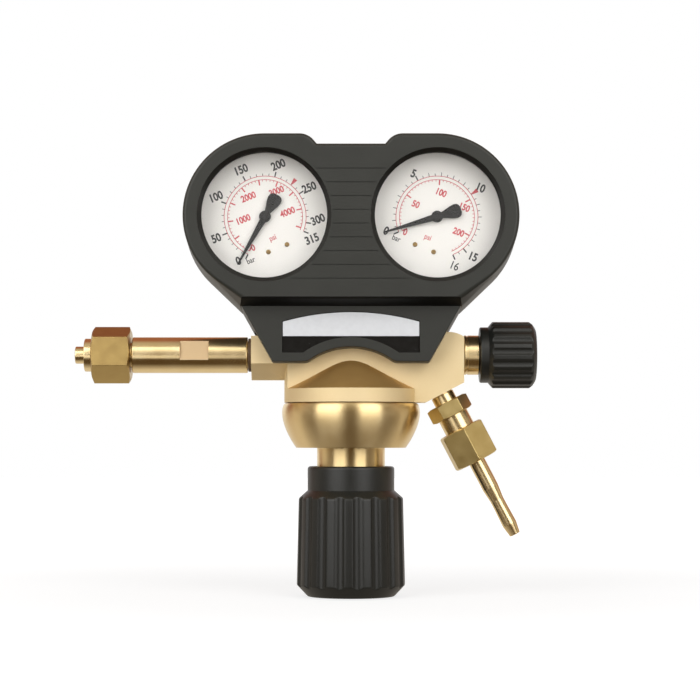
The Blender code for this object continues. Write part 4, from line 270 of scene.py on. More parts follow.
# Brass turned on a lathe: bright bands that stay sharp round the axis and smear along it, because
# the feed marks (0.12 mm in truth, drawn at 0.35 mm to show) run round the piece. The broad cuts
# on the bonnet smear more than the fine ones on the small pieces, and the body's skirt is duller.
# The skirt's darker colour is painted shade from the cover above it.
def makeTurnedBrass(name, bright, deep, smoothest, roughest, smear):
    material, tree, shader, place = newMaterial(
        name, {"Metallic": 1.0, "Anisotropic": smear, "Anisotropic Rotation": 0.25})
    parts = addNode(tree, "ShaderNodeSeparateXYZ", {}, {0: place})
    flat = addNode(tree, "ShaderNodeCombineXYZ", {}, {0: parts, 1: parts.outputs[1]})
    radius = addNode(tree, "ShaderNodeVectorMath", {"operation": "LENGTH"}, {0: flat})
    lathe = addNode(tree, "ShaderNodeCombineXYZ", {}, {0: radius.outputs["Value"], 2: parts.outputs[2]})
    marks, clouds = (addNode(tree, "ShaderNodeTexNoise",
        {"Scale": 1 / (size * mm), "Detail": detail}, {"Vector": at}).outputs["Fac"]
        for size, detail, at in ((0.35, 2.0, lathe.outputs[0]), (9, 3.0, place)))
    dress(tree, shader, (toLinear(deep), toLinear(bright), clouds), (smoothest, roughest, clouds),
        (0.25, 0.012, marks))
    tangent = addNode(tree, "ShaderNodeTangent", {"direction_type": "RADIAL", "axis": "Z"})
    tree.links.new(tangent.outputs[0], shader.inputs["Tangent"])
    return material


# Hexagon brass bar, drawn and left bright: greener and duller than turned brass, with faint
# lines from the die along the bar, about 0.9 mm apart. The inlet nut's has darkened with handling.
def makeHexagonBrass(name, bright, deep):
    material, tree, shader, place = newMaterial(name, {"Metallic": 1.0, "Roughness": 0.3})
    stretch = addNode(tree, "ShaderNodeMapping", {"Scale": (1.0, 1.0, 0.06)}, {"Vector": place})
    lines, clouds = (addNode(tree, "ShaderNodeTexNoise",
        {"Scale": 1 / (size * mm), "Detail": detail}, {"Vector": at}).outputs["Fac"]
        for size, detail, at in ((0.9, 3.0, stretch.outputs[0]), (5, 4.0, place)))
    dress(tree, shader, (toLinear(deep), toLinear(bright), clouds), (0.25, 0.40, clouds),
        (0.3, 0.015, lines))
    return material


# Glass-filled nylon, injection moulded in a spark-eroded tool: charcoal, with a fine leathery
# grain (0.3 mm in truth, drawn at 0.6 mm) that breaks the highlights up.
def makeMouldedNylon(name, hexColour, roughness):
    material, tree, shader, place = newMaterial(name, {"IOR": 1.5, "Roughness": roughness})
    clouds = addNode(tree, "ShaderNodeTexNoise", {"Scale": 1 / (14 * mm), "Detail": 3.0},
        {"Vector": place}).outputs["Fac"]
    grain = addNode(tree, "ShaderNodeTexVoronoi", {"Scale": 1 / (0.6 * mm)}, {"Vector": place})
    dress(tree, shader, (*shades(hexColour, 0.86, 1.14), clouds),
        (roughness - 0.05, roughness + 0.08, clouds), (0.25, 0.03, grain.outputs["Distance"]))
    return material


# A plain finish with fine grain, for pieces that are small or mostly out of sight: drawn or plated
# metal, rubber, seat plastic and printed enamel differ in colour, gloss and grain size.
def makePlainFinish(name, hexColour, roughness, metallic=0.0, grainSize=0.4, relief=0.01, shine=0.5):
    material, tree, shader, place = newMaterial(name, {"Metallic": metallic, "Roughness": roughness,
        "Specular IOR Level": shine})
    grain = addNode(tree, "ShaderNodeTexNoise", {"Scale": 1 / (grainSize * mm), "Detail": 3.0},
        {"Vector": place}).outputs["Fac"]
    dress(tree, shader, (*shades(hexColour, 0.93, 1.05), grain),
        (max(roughness - 0.06, 0.02), roughness + 0.06, grain), (0.3, relief, grain))
    return material


# Clear polycarbonate disc: nearly invisible from the front, mirror-like at a glance. Shadow rays
# pass straight through it, so that the dial behind stays white.
def makeWindow():
    material, tree, shader, place = newMaterial("clear polycarbonate", {
        "Base Color": (1.0, 1.0, 1.0, 1.0), "IOR": 1.58, "Roughness": 0.02, "Transmission Weight": 1.0})
    waves = addNode(tree, "ShaderNodeTexNoise", {"Scale": 1 / (12 * mm), "Detail": 1.0},
        {"Vector": place})
    haze = addNode(tree, "ShaderNodeMapRange", {"To Min": 0.01, "To Max": 0.04},
        {"Value": waves.outputs["Fac"]})
    tree.links.new(haze.outputs[0], shader.inputs["Roughness"])
    path = addNode(tree, "ShaderNodeLightPath")
    through = addNode(tree, "ShaderNodeBsdfTransparent")
    either = addNode(tree, "ShaderNodeMixShader", {},
        {0: path.outputs["Is Shadow Ray"], 1: shader, 2: through})
    tree.links.new(either.outputs[0], tree.nodes["Material Output"].inputs[0])
    return material


forgedBrass = makeForgedBrass()
turnedBrass = makeTurnedBrass("turned brass", "#F3DFB2", "#E6CB95", 0.20, 0.30, 0.7)
bonnetBrass = makeTurnedBrass("broad turned brass", "#F2DCAC", "#E3C68C", 0.30, 0.38, 0.92)
# the skirt brass is darker than the other turned brass: painted shade under the cover
skirtShadeBrass = makeTurnedBrass("dull turned brass with painted shade", "#CCAA70", "#BE985C", 0.48, 0.58, 0.5)
hexagonBrass = makeHexagonBrass("drawn hexagon brass", "#E2CC90", "#D2B876")
handledBrass = makeHexagonBrass("handled hexagon brass", "#C6AB6E", "#B39660")
milledBrass = makePlainFinish("milled brass flat", "#CDB591", 0.6, 1.0, 0.5, 0.01)
coverNylon = makeMouldedNylon("moulded nylon cover", "#272823", 0.46)
knobNylon = makeMouldedNylon("moulded nylon knob", "#1A1B18", 0.38)
# the ring, recess and ledge nylons are darker than the cover: painted shade in the opening bevels, the
# label recess and under the ledge
ringShadeNylon = makePlainFinish("nylon ring with painted shade", "#121210", 0.34, 0.0, 3.0, 0.002)
recessShadeNylon = makePlainFinish("nylon recess with painted shade", "#0E0E0D", 0.25, 0.0, 3.0, 0.002)
ledgeShadeNylon = makePlainFinish("nylon under the ledge with painted shade", "#0C0C0B", 0.6, 0.0, 3.0, 0.002, 0.15)
plainBrass = makePlainFinish("machined brass inside", "#D8B878", 0.34, 1.0)
phosphorBronze = makePlainFinish("drawn phosphor bronze", "#C8925A", 0.32, 1.0)
sinteredBronze = makePlainFinish("sintered bronze", "#9B7444", 0.72, 0.8, 0.25, 0.08)
zincSteel = makePlainFinish("zinc plated steel", "#BFC1C0", 0.34, 1.0, 1.2, 0.004)
blackSteel = makePlainFinish("black stoved steel", "#1C1C1B", 0.48, 0.0, 0.5, 0.01)
aluminium = makePlainFinish("turned aluminium", "#CFD0D2", 0.38, 1.0, 0.8, 0.004)
seatPlastic = makePlainFinish("white seat plastic", "#E9E6DC", 0.45)
nitrileRubber = makePlainFinish("nitrile rubber", "#191919", 0.78, 0.0, 0.3, 0.02)
fibreWasher = makePlainFinish("vulcanised fibre", "#5A4531", 0.6, 0.0, 0.3, 0.02)
dialEnamel = makePlainFinish("white dial enamel", "#F1EEE8", 0.5, 0.0, 0.25, 0.003)
dialBlack = makePlainFinish("black dial ink", "#23221F", 0.55)
dialRed = makePlainFinish("red dial ink", "#CC4A52", 0.55)
pointerBlack = makePlainFinish("black pointer lacquer", "#11110F", 0.6, 0.0, 0.4, 0.01, 0.2)
dialScrewBrass = makePlainFinish("dulled brass screw", "#8E7240", 0.45, 1.0)
labelFilm = makePlainFinish("white label film", "#E4E5E7", 0.35, 0.0, 2.0, 0.002)
clearWindow = makeWindow()
print("materials made")

# finishes of the frame's own nodes, by the finish that the record gives them
nodeLooks = {"satin_brass": plainBrass, "turned_brass": hexagonBrass, "tube_bronze": phosphorBronze,
    "sintered_bronze": sinteredBronze, "plated_steel": zincSteel, "black_steel": blackSteel,
    "aluminium": aluminium, "black_plastic": coverNylon, "white_plastic": seatPlastic,
    "rubber": nitrileRubber, "sealing_washer": fibreWasher, "dial_white": dialEnamel,
    "pointer_black": pointerBlack, "label_white": labelFilm, "clear_window": clearWindow}
for part in frame["record"]["subparts"]:
    mesh = nodes[part["node"]].data
    mesh.materials.clear()
    mesh.materials.append(nodeLooks[part["material_slot"]])


inlet = {"noseTip": -122.9, "collarLeft": -118.7, "collarRight": -115.4, "nutLeft": -115.1,
    "nutRight": -98.1, "tubeLeft": -97.3, "tubeRight": -46.0, "tubeRadius": 8.03, "noseRadius": 3.85,
    "collarRadius": 7.4, "nutFlats": 22.2, "nutTurn": 7.0, "threadRadius": 7.8, "threadPitch": 1.3,
    "threadRight": -102.0, "seat": -101.6, "seatRadius": 5.8, "bore": 2.0, "socket": 5.1,
    "socketEnd": -88.0, "spigot": 6.0, "spigotEnd": -34.7, "flatLeft": -75.9, "flatRight": -63.2,
    "flatOff": 6.7, "flatTilt": 16, "noseBore": 1.8, "filterRadius": 3.2, "filterLeft": -99.2,
    "sleeve": 5.5, "nippleSpigot": 4.8, "nippleEnd": -88.3}


def makeInlet():
    s = inlet
    stem = turned("inlet_stem_turned", [(s["tubeLeft"], s["socket"]),
        (s["tubeLeft"], s["tubeRadius"], 0.5), (s["tubeRight"], s["tubeRadius"], 0.6),
        (s["tubeRight"], s["spigot"]), (s["spigotEnd"], s["spigot"], 0.4), (s["spigotEnd"], s["bore"]),
        (s["socketEnd"], s["bore"]), (s["socketEnd"], s["socket"])], sideways, turnedBrass, 128)
    flat = [(s["flatOff"], -9), (12, -9), (12, 9), (s["flatOff"], 9)]  # well past the tube
    flats = [slab("flat", flat, s["flatLeft"], s["flatRight"], sideways @ Matrix.Rotation(
        math.radians(side - s["flatTilt"]), 4, "Z"), milledBrass) for side in (-90, 90)]
    stem.data.materials.append(milledBrass)
    carve(stem, flats)
    settle(smoothed(softEdges(stem, 0.12, 40)), "regulator", "inlet_stem")

    nipple = turned("inlet_nipple_turned", [(s["noseTip"], s["noseBore"], 0.2),
        (s["noseTip"], s["noseRadius"], 0.5), (s["collarLeft"], s["noseRadius"], 0.3),
        (s["collarLeft"], s["collarRadius"], 0.5), (s["collarRight"], s["collarRadius"], 0.3),
        (s["collarRight"], s["sleeve"]), (s["tubeLeft"] - 0.3, s["sleeve"]), (s["tubeLeft"] - 0.3, s[
        "nippleSpigot"]), (s["nippleEnd"], s["nippleSpigot"], 0.3), (s["nippleEnd"], s["filterRadius"]),
        (s["filterLeft"], s["filterRadius"]), (s["filterLeft"], s["noseBore"])], sideways, turnedBrass)
    settle(smoothed(nipple), "regulator", "inlet_nipple")

    nut = hexagonNut("inlet_nut_hexagon", s["nutFlats"], -s["nutTurn"], s["nutLeft"], s["nutRight"],
        sideways, handledBrass)
    bore = [(s["nutLeft"] - 1, s["threadRadius"] + 1.2), (s["nutLeft"] + 0.5, s["threadRadius"] + 0.3)]
    bore += threadRidges(s["nutLeft"] + 0.8, s["threadRight"], s["threadRadius"],
        s["threadPitch"], 0.45)
    bore += [(s["seat"], s["threadRadius"]), (s["seat"], s["seatRadius"]),
        (s["nutRight"] + 1, s["seatRadius"])]
    carve(nut, [rod("bore", bore, sideways, None, 96)])
    settle(smoothed(nut), "inlet_nut", "inlet_nut")


def threadRidges(low, high, radius, pitch, depth):
    # a thread drawn as close rings, crests at radius + depth
    turns = int((high - low) / pitch)
    ridges = []
    for k in range(turns):
        at = low + k * pitch
        ridges += [(at, radius), (at + 0.35 * pitch, radius + depth),
            (at + 0.5 * pitch, radius + depth), (at + 0.85 * pitch, radius)]
    return ridges


nutShape = {"edge": 0.18, "face": 0.97, "chamfer": 26.0, "crown": 0.3, "rim": 0.5}


def hexagonNut(name, flats, turn, low, high, place, look):
    s = nutShape
    corner = flats / 2 / math.cos(math.radians(30))
    stock = slab(name, arc(corner, 6, start=turn), low, high, place, look)
    softEdges(stock, s["edge"], 40, 2)
    face = flats / 2 * s["face"]
    slope = (corner - face) * math.tan(math.radians(s["chamfer"]))
    guide = rod("guide", [(low - s["rim"], face), (low, face, 0.2), (low + slope, corner + s["crown"]),
        (high - slope, corner + s["crown"]), (high, face, 0.2), (high + s["rim"], face)],
        place, None, 96)
    return carve(stock, [guide], "INTERSECT")


makeInlet()
print("inlet made")


body = {"halfDepth": 9.7, "coreRadius": 29.7, "bottom": -21.2, "skirtTop": -15.2, "coneTop": -1.6,
    "coneTopRadius": 8.2, "coneSag": 0.9, "top": 8.2, "inletReach": 44.2, "inletInner": 5.0,
    "inletBottom": -11.2, "inletChamfer": 7.2, "outletReach": 50.0, "outletTop": 9.9, "rounding": 12.1,
    "roundedLength": 6.8, "hoseTilt": 27.5, "hoseX": 40.5, "hoseZ": -17.4, "lugX": 33.2,
    "bossRadius": 9.2, "bossLow": -64.9, "bossHigh": -41.6}
# what is drilled into the body, as distance and radius along the axis of what goes in
bores = {"diaphragm": [(-22.2, 25.1), (-17.0, 25.1), (-17.0, 20.0),
    (-14.0, 20.0), (-14.0, 7.1), (-6.1, 7.1), (-6.1, 5.0), (5.2, 5.0)],
    "inlet": [(-46.0, 6.3), (-34.4, 6.3), (-34.4, 2.0), (-2.5, 2.0)], "valve": [(11.0, 2.0),
    (31.0, 2.0), (31.0, 4.5), (40.0, 4.5), (40.0, 6.2), (52.0, 6.2)], "hose": [(-8.3, 5.1), (1.0, 5.1)],
    "relief": [(3.0, 4.1), (11.0, 4.1)], "gauge": [(-54.1, 6.7), (-40.0, 6.7)]}
relief = {"x": 24.0, "floor": 3.0, "head": 10.0, "headEnd": 13.6, "spigot": 3.8, "radius": 5.5,
    "chamber": 2.7, "vent": 1.2, "ventFloor": 12.7, "slotLong": 6, "slotHalf": 0.5, "slotDepth": 0.7}
gauges = {"x": 37.8, "z": 60.2, "tilt": 22.0}
hosePlace = upright @ shift(body["hoseX"], 0, body["hoseZ"])
hosePlace = hosePlace @ Matrix.Rotation(math.radians(180 - body["hoseTilt"]), 4, "Y")
gaugePlaces = {}
for name, side in (("high_pressure", -1), ("delivery", 1)):
    lean = Matrix.Rotation(math.radians(side * gauges["tilt"]), 4, "Y")
    gaugePlaces[name] = upright @ shift(side * gauges["x"], 0, gauges["z"]) @ lean
reliefPlace = upright @ shift(relief["x"]) @ alongY


def makeBody():
    s = body
    cone = []
    for k in range(13):
        t = k / 12
        cone.append((s["skirtTop"] + (s["coneTop"] - s["skirtTop"]) * t - s["coneSag"]
            * math.sin(math.pi * t), s["coreRadius"] + (s["coneTopRadius"] - s["coreRadius"]) * t))
    # the cone under the cover takes the darker skirt brass, which is painted shade
    piece = rod("regulator_body_forged", [(s["bottom"], s["coreRadius"])] + cone, upright,
        skirtShadeBrass, 128)
    piece.data.materials.append(forgedBrass)
    for side in piece.data.polygons:
        side.material_index = int(abs(side.normal.z) < 0.1)  # the lip is left as forged
    half = math.degrees(math.asin(s["halfDepth"] / s["coreRadius"]))
    plan = arc(s["coreRadius"], 16, start=-half, sweep=2 * half)
    plan += arc(s["coreRadius"], 16, start=180 - half, sweep=2 * half)
    joined = [slab("core", plan, s["bottom"], s["top"], upright, forgedBrass)]

    chamferZ = s["inletBottom"] + s["inletChamfer"]
    narrow = s["halfDepth"] - s["inletChamfer"]
    section = [(s["top"], -s["halfDepth"]), (s["top"], s["halfDepth"]), (chamferZ, s["halfDepth"]),
        (s["inletBottom"], narrow), (s["inletBottom"], -narrow), (chamferZ, -s["halfDepth"])]
    joined.append(slab("inlet arm", [(-z, y) for z, y in section], -s["inletReach"], -s["inletInner"],
        sideways, forgedBrass))

    def faceZ(x):
        return s["hoseZ"] + (x - s["hoseX"]) * math.tan(math.radians(s["hoseTilt"]))

    roundStart = s["outletReach"] - s["roundedLength"]
    roundAngle = math.degrees(math.asin(s["roundedLength"] / s["rounding"]))
    block = [(0.0, s["outletTop"]), (0.0, s["bottom"]), (s["lugX"], s["bottom"]),
        (s["lugX"], faceZ(s["lugX"])), (s["outletReach"], faceZ(s["outletReach"]))]
    block += arc(s["rounding"], 10, (roundStart, s["outletTop"] - s["rounding"]),
        90 - roundAngle, roundAngle)
    joined.append(slab("outlet arm", block, -s["halfDepth"], s["halfDepth"], standing, forgedBrass))
    for place in gaugePlaces.values():
        joined.append(rod("boss", [(s["bossLow"], s["bossRadius"]), (s["bossHigh"], s["bossRadius"])],
            place, forgedBrass, 48))
    carve(piece, joined, "UNION")
    drilled = [("diaphragm", upright, 64), ("inlet", sideways, 32), ("valve", sideways, 48),
        ("hose", hosePlace, 48), ("relief", reliefPlace, 32)]
    drilled += [("gauge", place, 32) for place in gaugePlaces.values()]
    carve(piece, [rod(name, bores[name], place, None, steps) for name, place, steps in drilled])
    softEdges(piece, 0.35, 28, 3)
    settle(smoothed(piece, 40), "regulator", "regulator_body")


makeBody()
print("body made")


bonnet = {"lip": -21.5, "swell": -25.7, "bottom": -41.3, "radius": 30.75, "bottomRadius": 24.4,
    "shoulder": 1.6, "spigotTop": -19.5, "spigot": 24.8, "neck": 15.1, "neckEnd": -56.0, "belly": 1.75,
    "mouth": 21.6, "inside": [(-38.1, 6.2), (-38.1, 21.2), (-33.5, 25.9)]}


def makeBonnet():
    s = bonnet
    profile = [(s["spigotTop"], s["mouth"]), (s["spigotTop"], s["spigot"]), (s["lip"], s["spigot"]),
        (s["lip"], s["radius"] - s["shoulder"])]
    for k in range(1, 11):
        a = math.radians(9 * k)
        profile.append((s["lip"] - (s["lip"] - s["swell"]) * (1 - math.cos(a)),
            s["radius"] - s["shoulder"] + s["shoulder"] * math.sin(a)))
    for k in range(1, 17):
        t = k / 16
        profile.append((s["swell"] - (s["swell"] - s["bottom"]) * t,
            s["radius"] - (s["radius"] - s["bottomRadius"]) * t ** s["belly"]))
    profile[-1] = profile[-1] + (0.5,)
    profile += [(s["bottom"], s["neck"], 0.4), (s["neckEnd"], s["neck"], 0.5),
        (s["neckEnd"], s["inside"][0][1])] + s["inside"]
    profile += [(s["swell"], s["inside"][-1][1]), (s["lip"], s["mouth"])]
    piece = turned("bonnet_turned", profile, upright, bonnetBrass, 160)
    settle(smoothed(piece, 28), "regulator", "bonnet")


makeBonnet()
print("bonnet made")


# Springs and diaphragm, out of sight inside; the diaphragm's centre rides on the plate. they give as
# the spring disc and the plate rise.
setSpring = {"radius": 13.5, "wire": 1.2, "turns": 3.5, "low": -35.1, "high": -21.1, "lowMove": 4.375,
    "highMove": 0.6}
poppetSpring = {"radius": 2.4, "wire": 0.3, "turns": 3, "low": 0.4, "high": 4.9, "lowMove": 0.61,
    "highMove": 0.0}
diaphragm = {"bottom": -18.1, "top": -17.3, "radius": 24.8, "centre": 16.5, "split": 0.05}


def coilSpring(name, s, look):
    # a round wire in a coil
    low, high = s["low"] + s["wire"], s["high"] - s["wire"]
    steps = int(s["turns"] * 40)
    rings = []
    for k in range(steps + 1):
        a = 2 * math.pi * s["turns"] * k / steps
        rings.append([((s["radius"] + x) * math.cos(a), (s["radius"] + x) * math.sin(a),
            low + (high - low) * k / steps + z) for x, z in arc(s["wire"], 12)])
    ends = [[(s["radius"] * math.cos(a), s["radius"] * math.sin(a), z)]
        for a, z in ((0.0, low), (2 * math.pi * s["turns"], high))]
    piece = asPiece(name + "_coil", ringShape(ends[:1] + rings + ends[1:], False), upright, look)
    piece.data.shade_smooth()
    settle(piece, "regulator", name)
    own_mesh(piece)


def makeDiaphragm():
    # the centre lifts with the plate, the rim is clamped
    s = diaphragm
    centre = turned("diaphragm_centre", [(s["bottom"], 0.0), (s["bottom"], s["centre"], 0.2),
        (s["top"], s["centre"], 0.2), (s["top"], 0.0)], upright, nitrileRubber)
    settle(smoothed(centre), "diaphragm_plate", "diaphragm")
    inner = s["centre"] + s["split"]
    rim = turned("diaphragm_rim", [(s["bottom"], inner, 0.2), (s["bottom"], s["radius"], 0.1),
        (s["top"], s["radius"], 0.1), (s["top"], inner, 0.2)], upright, nitrileRubber)
    settle(smoothed(rim), "regulator", "diaphragm")


coilSpring("set_spring", setSpring, zincSteel)
coilSpring("poppet_spring", poppetSpring, zincSteel)
makeDiaphragm()
print("springs and diaphragm made")


adjustingKnob = {"top": -49.5, "shoulder": -60.2, "gripTop": -63.8, "gripBottom": -102.1,
    "bottom": -107.0, "collarRadius": 19.3, "gripRadius": 23.3, "flare": 0.8, "rimRadius": 19.4,
    "flutes": 18, "fluteDepth": 1.1, "fluteHalf": 5.6, "phase": -82.5, "neckBore": 16.0,
    "capRadius": 17.3, "capFloor": -104.2, "core": [(-104.2, 4.3), (-100.8, 4.3), (-100.8, 2.3),
    (-98.3, 2.3), (-98.3, 4.7), (-71.5, 4.7)], "neckFloor": -71.5, "cap": [(-107.0, 14.4),
    (-106.75, 14.7), (-106.75, 15.3), (-107.0, 15.6), (-107.0, 17.0, 0.4), (-104.5, 17.0, 0.2)]}
outletKnob = {"left": 57.3, "collar": 61.0, "gripStart": 63.0, "gripEnd": 79.6, "right": 82.2,
    "collarRadius": 12.4, "gripRadius": 14.8, "rimRadius": 11.6, "flutes": 18, "fluteDepth": 0.8,
    "fluteHalf": 6.2, "phase": 6.0, "neckBore": 3.6, "core": [(80.1, 9.1), (80.1, 3.6), (77.6, 3.6),
    (77.6, 1.8), (76.0, 1.8), (76.0, 3.3)], "cap": [(80.4, 0.0), (80.4, 8.8, 0.2), (81.9, 8.8, 0.5),
    (82.25, 7.4), (82.5, 4.5), (82.62, 2.0), (82.65, 0.0)]}


def fluted(name, outside, inside, fluteFloor, s, place, look, steps=360):
    # outside and inside are (distance, radius) lists; outside the radius never passes the flutes
    rings = []
    for distance, radius in outside:
        ring = []
        for k in range(steps):
            angle, half = 360 * k / steps, 180 / s["flutes"]
            t = abs((angle - s["phase"] + half) % (2 * half) - half) / s["fluteHalf"]
            dip = (1 - t * t) ** 0.8 if t < 1.0 else 0.0
            reach = min(radius, fluteFloor(distance) + s["fluteDepth"] * (1 - dip))
            ring.append((reach * math.cos(math.radians(angle)),
                reach * math.sin(math.radians(angle)), distance))
        rings.append(ring)
    rings += [[(x, y, distance) for x, y in arc(radius, steps)] for distance, radius in inside]
    return asPiece(name, ringShape(rings, True), place, look)


def spread(points, gap):
    # adds points along straight stretches, so that flutes can run out in them
    filled = [points[0]]
    for one, two in zip(points, points[1:]):
        count = max(1, int(math.hypot(two[0] - one[0], two[1] - one[1]) / gap))
        filled += [(one[0] + (two[0] - one[0]) * k / count, one[1] + (two[1] - one[1]) * k / count)
            for k in range(1, count + 1)]
    return filled


def makeAdjustingKnob():
    s = adjustingKnob
    wide = s["gripRadius"] + s["flare"]
    shoulder = spread([(s["shoulder"], s["collarRadius"]), (s["gripTop"] + 0.5, s["gripRadius"] - 0.45),
        (s["gripTop"], s["gripRadius"] - 0.08), (s["gripTop"] - 0.6, s["gripRadius"])], 0.45)
    chamfer = spread([(s["gripBottom"] + 0.5, wide), (s["gripBottom"], wide - 0.15),
        (s["bottom"] + 0.5, s["rimRadius"] + 0.4), (s["bottom"], s["rimRadius"] - 0.2)], 0.45)
    outside = softCorners([(s["top"], s["neckBore"] + 0.4), (s["top"], s["collarRadius"], 1.9),
        (s["shoulder"] + 0.4, s["collarRadius"])])
    outside += shoulder + spread(
        [(s["gripTop"] - 0.6, s["gripRadius"]), (s["gripBottom"] + 0.5, wide)], 6.0)[1:-1]
    outside += chamfer
    inside = [(s["bottom"], s["capRadius"] + 0.3), (s["bottom"] + 0.3, s["capRadius"]),
        (s["capFloor"], s["capRadius"])] + s["core"]
    inside += [(s["neckFloor"], s["neckBore"]), (s["top"] - 0.4, s["neckBore"])]

    def fluteFloor(distance):
        t = (distance - s["gripTop"]) / (s["gripBottom"] - s["gripTop"])
        return s["gripRadius"] + s["flare"] * t - s["fluteDepth"]

    piece = fluted("adjusting_knob_moulded", outside, inside, fluteFloor, s, upright, knobNylon)
    settle(smoothed(piece, 30), "adjusting_knob", "adjusting_knob")
    cap = rod("adjusting_knob_cap_moulded", s["cap"], upright, knobNylon, 96)
    settle(smoothed(cap), "adjusting_knob", "adjusting_knob_cap")


def makeOutletKnob():
    s = outletKnob
    outside = softCorners([(s["left"], s["neckBore"]), (s["left"], s["collarRadius"], 0.8),
        (s["collar"] - 0.2, s["collarRadius"])])
    outside += spread([(s["collar"], s["collarRadius"]), (s["gripStart"] - 0.3, s["gripRadius"] - 0.4),
        (s["gripStart"], s["gripRadius"] - 0.1), (s["gripStart"] + 0.5, s["gripRadius"])], 0.35)
    outside += spread(
        [(s["gripStart"] + 0.5, s["gripRadius"]), (s["gripEnd"] - 0.4, s["gripRadius"])], 5.0)[1:-1]
    outside += spread([(s["gripEnd"] - 0.4, s["gripRadius"]), (s["gripEnd"], s["gripRadius"] - 0.15),
        (s["gripEnd"] + 1.2, s["gripRadius"] - 1.1), (s["right"] - 0.4, s["rimRadius"] + 0.6),
        (s["right"], s["rimRadius"] - 0.3)], 0.35)
    capBore, spindleBore = s["core"][0][1], s["core"][-1][1]
    inside = [(s["right"], capBore + 0.4), (s["right"] - 0.3, capBore)] + s["core"]
    inside.append((s["left"] + 0.3, spindleBore))

    def fluteFloor(distance):
        return s["gripRadius"] - s["fluteDepth"]

    piece = fluted("outlet_valve_knob_moulded", outside, inside, fluteFloor, s, sideways, knobNylon)
    settle(smoothed(piece, 30), "outlet_valve_knob", "outlet_valve_knob")
    cap = turned("outlet_valve_knob_cap_moulded", s["cap"], sideways, knobNylon)
    settle(smoothed(cap), "outlet_valve_knob", "outlet_valve_knob_cap")


makeAdjustingKnob()
makeOutletKnob()
print("knobs made")


gland = {"spigotLeft": 40.3, "left": 50.3, "grooveLeft": 51.4, "grooveRight": 51.9, "groove": 8.5,
    "right": 57.0, "radius": 8.8, "spigot": 5.9, "hole": 3.3, "packing": 5.3, "packingLeft": 51.6}


def makeGland():
    s = gland
    piece = turned("outlet_valve_gland_turned", [(s["spigotLeft"], s["hole"]),
        (s["spigotLeft"], s["spigot"], 0.3), (s["left"], s["spigot"]), (s["left"], s["radius"], 0.3),
        (s["grooveLeft"], s["radius"], 0.15), (s["grooveLeft"], s["groove"]),
        (s["grooveRight"], s["groove"]), (s["grooveRight"], s["radius"], 0.15),
        (s["right"], s["radius"], 0.5), (s["right"], s["packing"]), (s["packingLeft"], s["packing"]),
        (s["packingLeft"], s["hole"])], sideways, turnedBrass, 128)
    settle(smoothed(piece), "regulator", "outlet_valve_gland")


makeGland()


hose = {"hexStart": 4.1, "hexEnd": 10.8, "hexFlats": 16.9, "neck": 5.25, "thread": 7.3,
    "threadEnd": 24.0, "threadPitch": 1.34, "nutStart": 17.5, "nutEnd": 33.6, "nutFlats": 19.1,
    "nutTurn": 25.0, "headStart": 24.3, "headEnd": 30.2, "tail": 3.7, "tailEnd": 48.3, "waist": 3.05,
    "waistEnd": 56.5, "barb": 3.25, "barbEnd": 65.2, "tip": 2.4, "tipEnd": 70.3, "bore": 1.5,
    "adapterBore": 2.5, "spigotStart": -8.0, "spigot": 4.8, "collar": 6.9, "head": 7.3, "nutBore": 8.0,
    "nutWall": 30.5, "nutHole": 4.0, "through": [(0.0, 4.0), (14.0, 4.0)]}


def makeHoseOutlet():
    s = hose
    profile = [(s["spigotStart"], s["adapterBore"]), (s["spigotStart"], s["spigot"], 0.3),
        (0.3, s["spigot"]), (0.3, s["neck"], 0.2), (s["hexStart"] + 0.5, s["neck"]),
        (s["hexStart"] + 0.5, s["collar"]), (s["nutStart"] + 0.6, s["collar"])]
    profile += threadRidges(s["nutStart"] + 1.0, s["threadEnd"] - 0.6, s["thread"] - 0.42,
        s["threadPitch"], 0.42)
    profile += [(s["threadEnd"], s["thread"] - 0.4), (s["threadEnd"], s["adapterBore"])]
    adapter = turned("outlet_adapter_turned", profile, hosePlace, turnedBrass, 96)
    hexPart = hexagonNut("hex", s["hexFlats"], 0.0, s["hexStart"], s["hexEnd"], hosePlace, hexagonBrass)
    carve(hexPart, [rod("through", s["through"], hosePlace)])
    adapter.data.materials.append(hexagonBrass)
    carve(adapter, [hexPart], "UNION")
    settle(smoothed(adapter), "regulator", "outlet_adapter")

    nut = hexagonNut("hose_union_nut_hexagon", s["nutFlats"], s["nutTurn"], s["nutStart"], s["nutEnd"],
        hosePlace, hexagonBrass)
    carve(nut, [rod("bore", [(s["nutStart"] - 1, s["nutBore"] + 1.1),
        (s["nutStart"] + 0.6, s["nutBore"]), (s["nutWall"], s["nutBore"]), (s["nutWall"], s["nutHole"]),
        (s["nutEnd"] + 1, s["nutHole"])], hosePlace, None, 96)])
    settle(smoothed(nut), "hose_union_nut", "hose_union_nut")

    tail = turned("hose_nipple_turned", [(s["headStart"], s["bore"]), (s["headStart"], s["head"], 0.4),
        (s["headEnd"], s["head"], 0.3), (s["headEnd"], s["tail"], 0.2),
        (s["tailEnd"] - 1.5, s["tail"], 1.5), (s["waistEnd"] - 3.5, s["waist"], 2.0), (s["waistEnd"],
        s["waist"], 2.0), (s["barbEnd"] - 1.2, s["barb"], 1.5), (s["barbEnd"], s["barb"], 0.5),
        (s["tipEnd"], s["tip"], 0.4), (s["tipEnd"], s["bore"], 0.2)], hosePlace, turnedBrass)
    settle(smoothed(tail), "hose_nipple", "hose_nipple")


makeHoseOutlet()
print("hose outlet made")


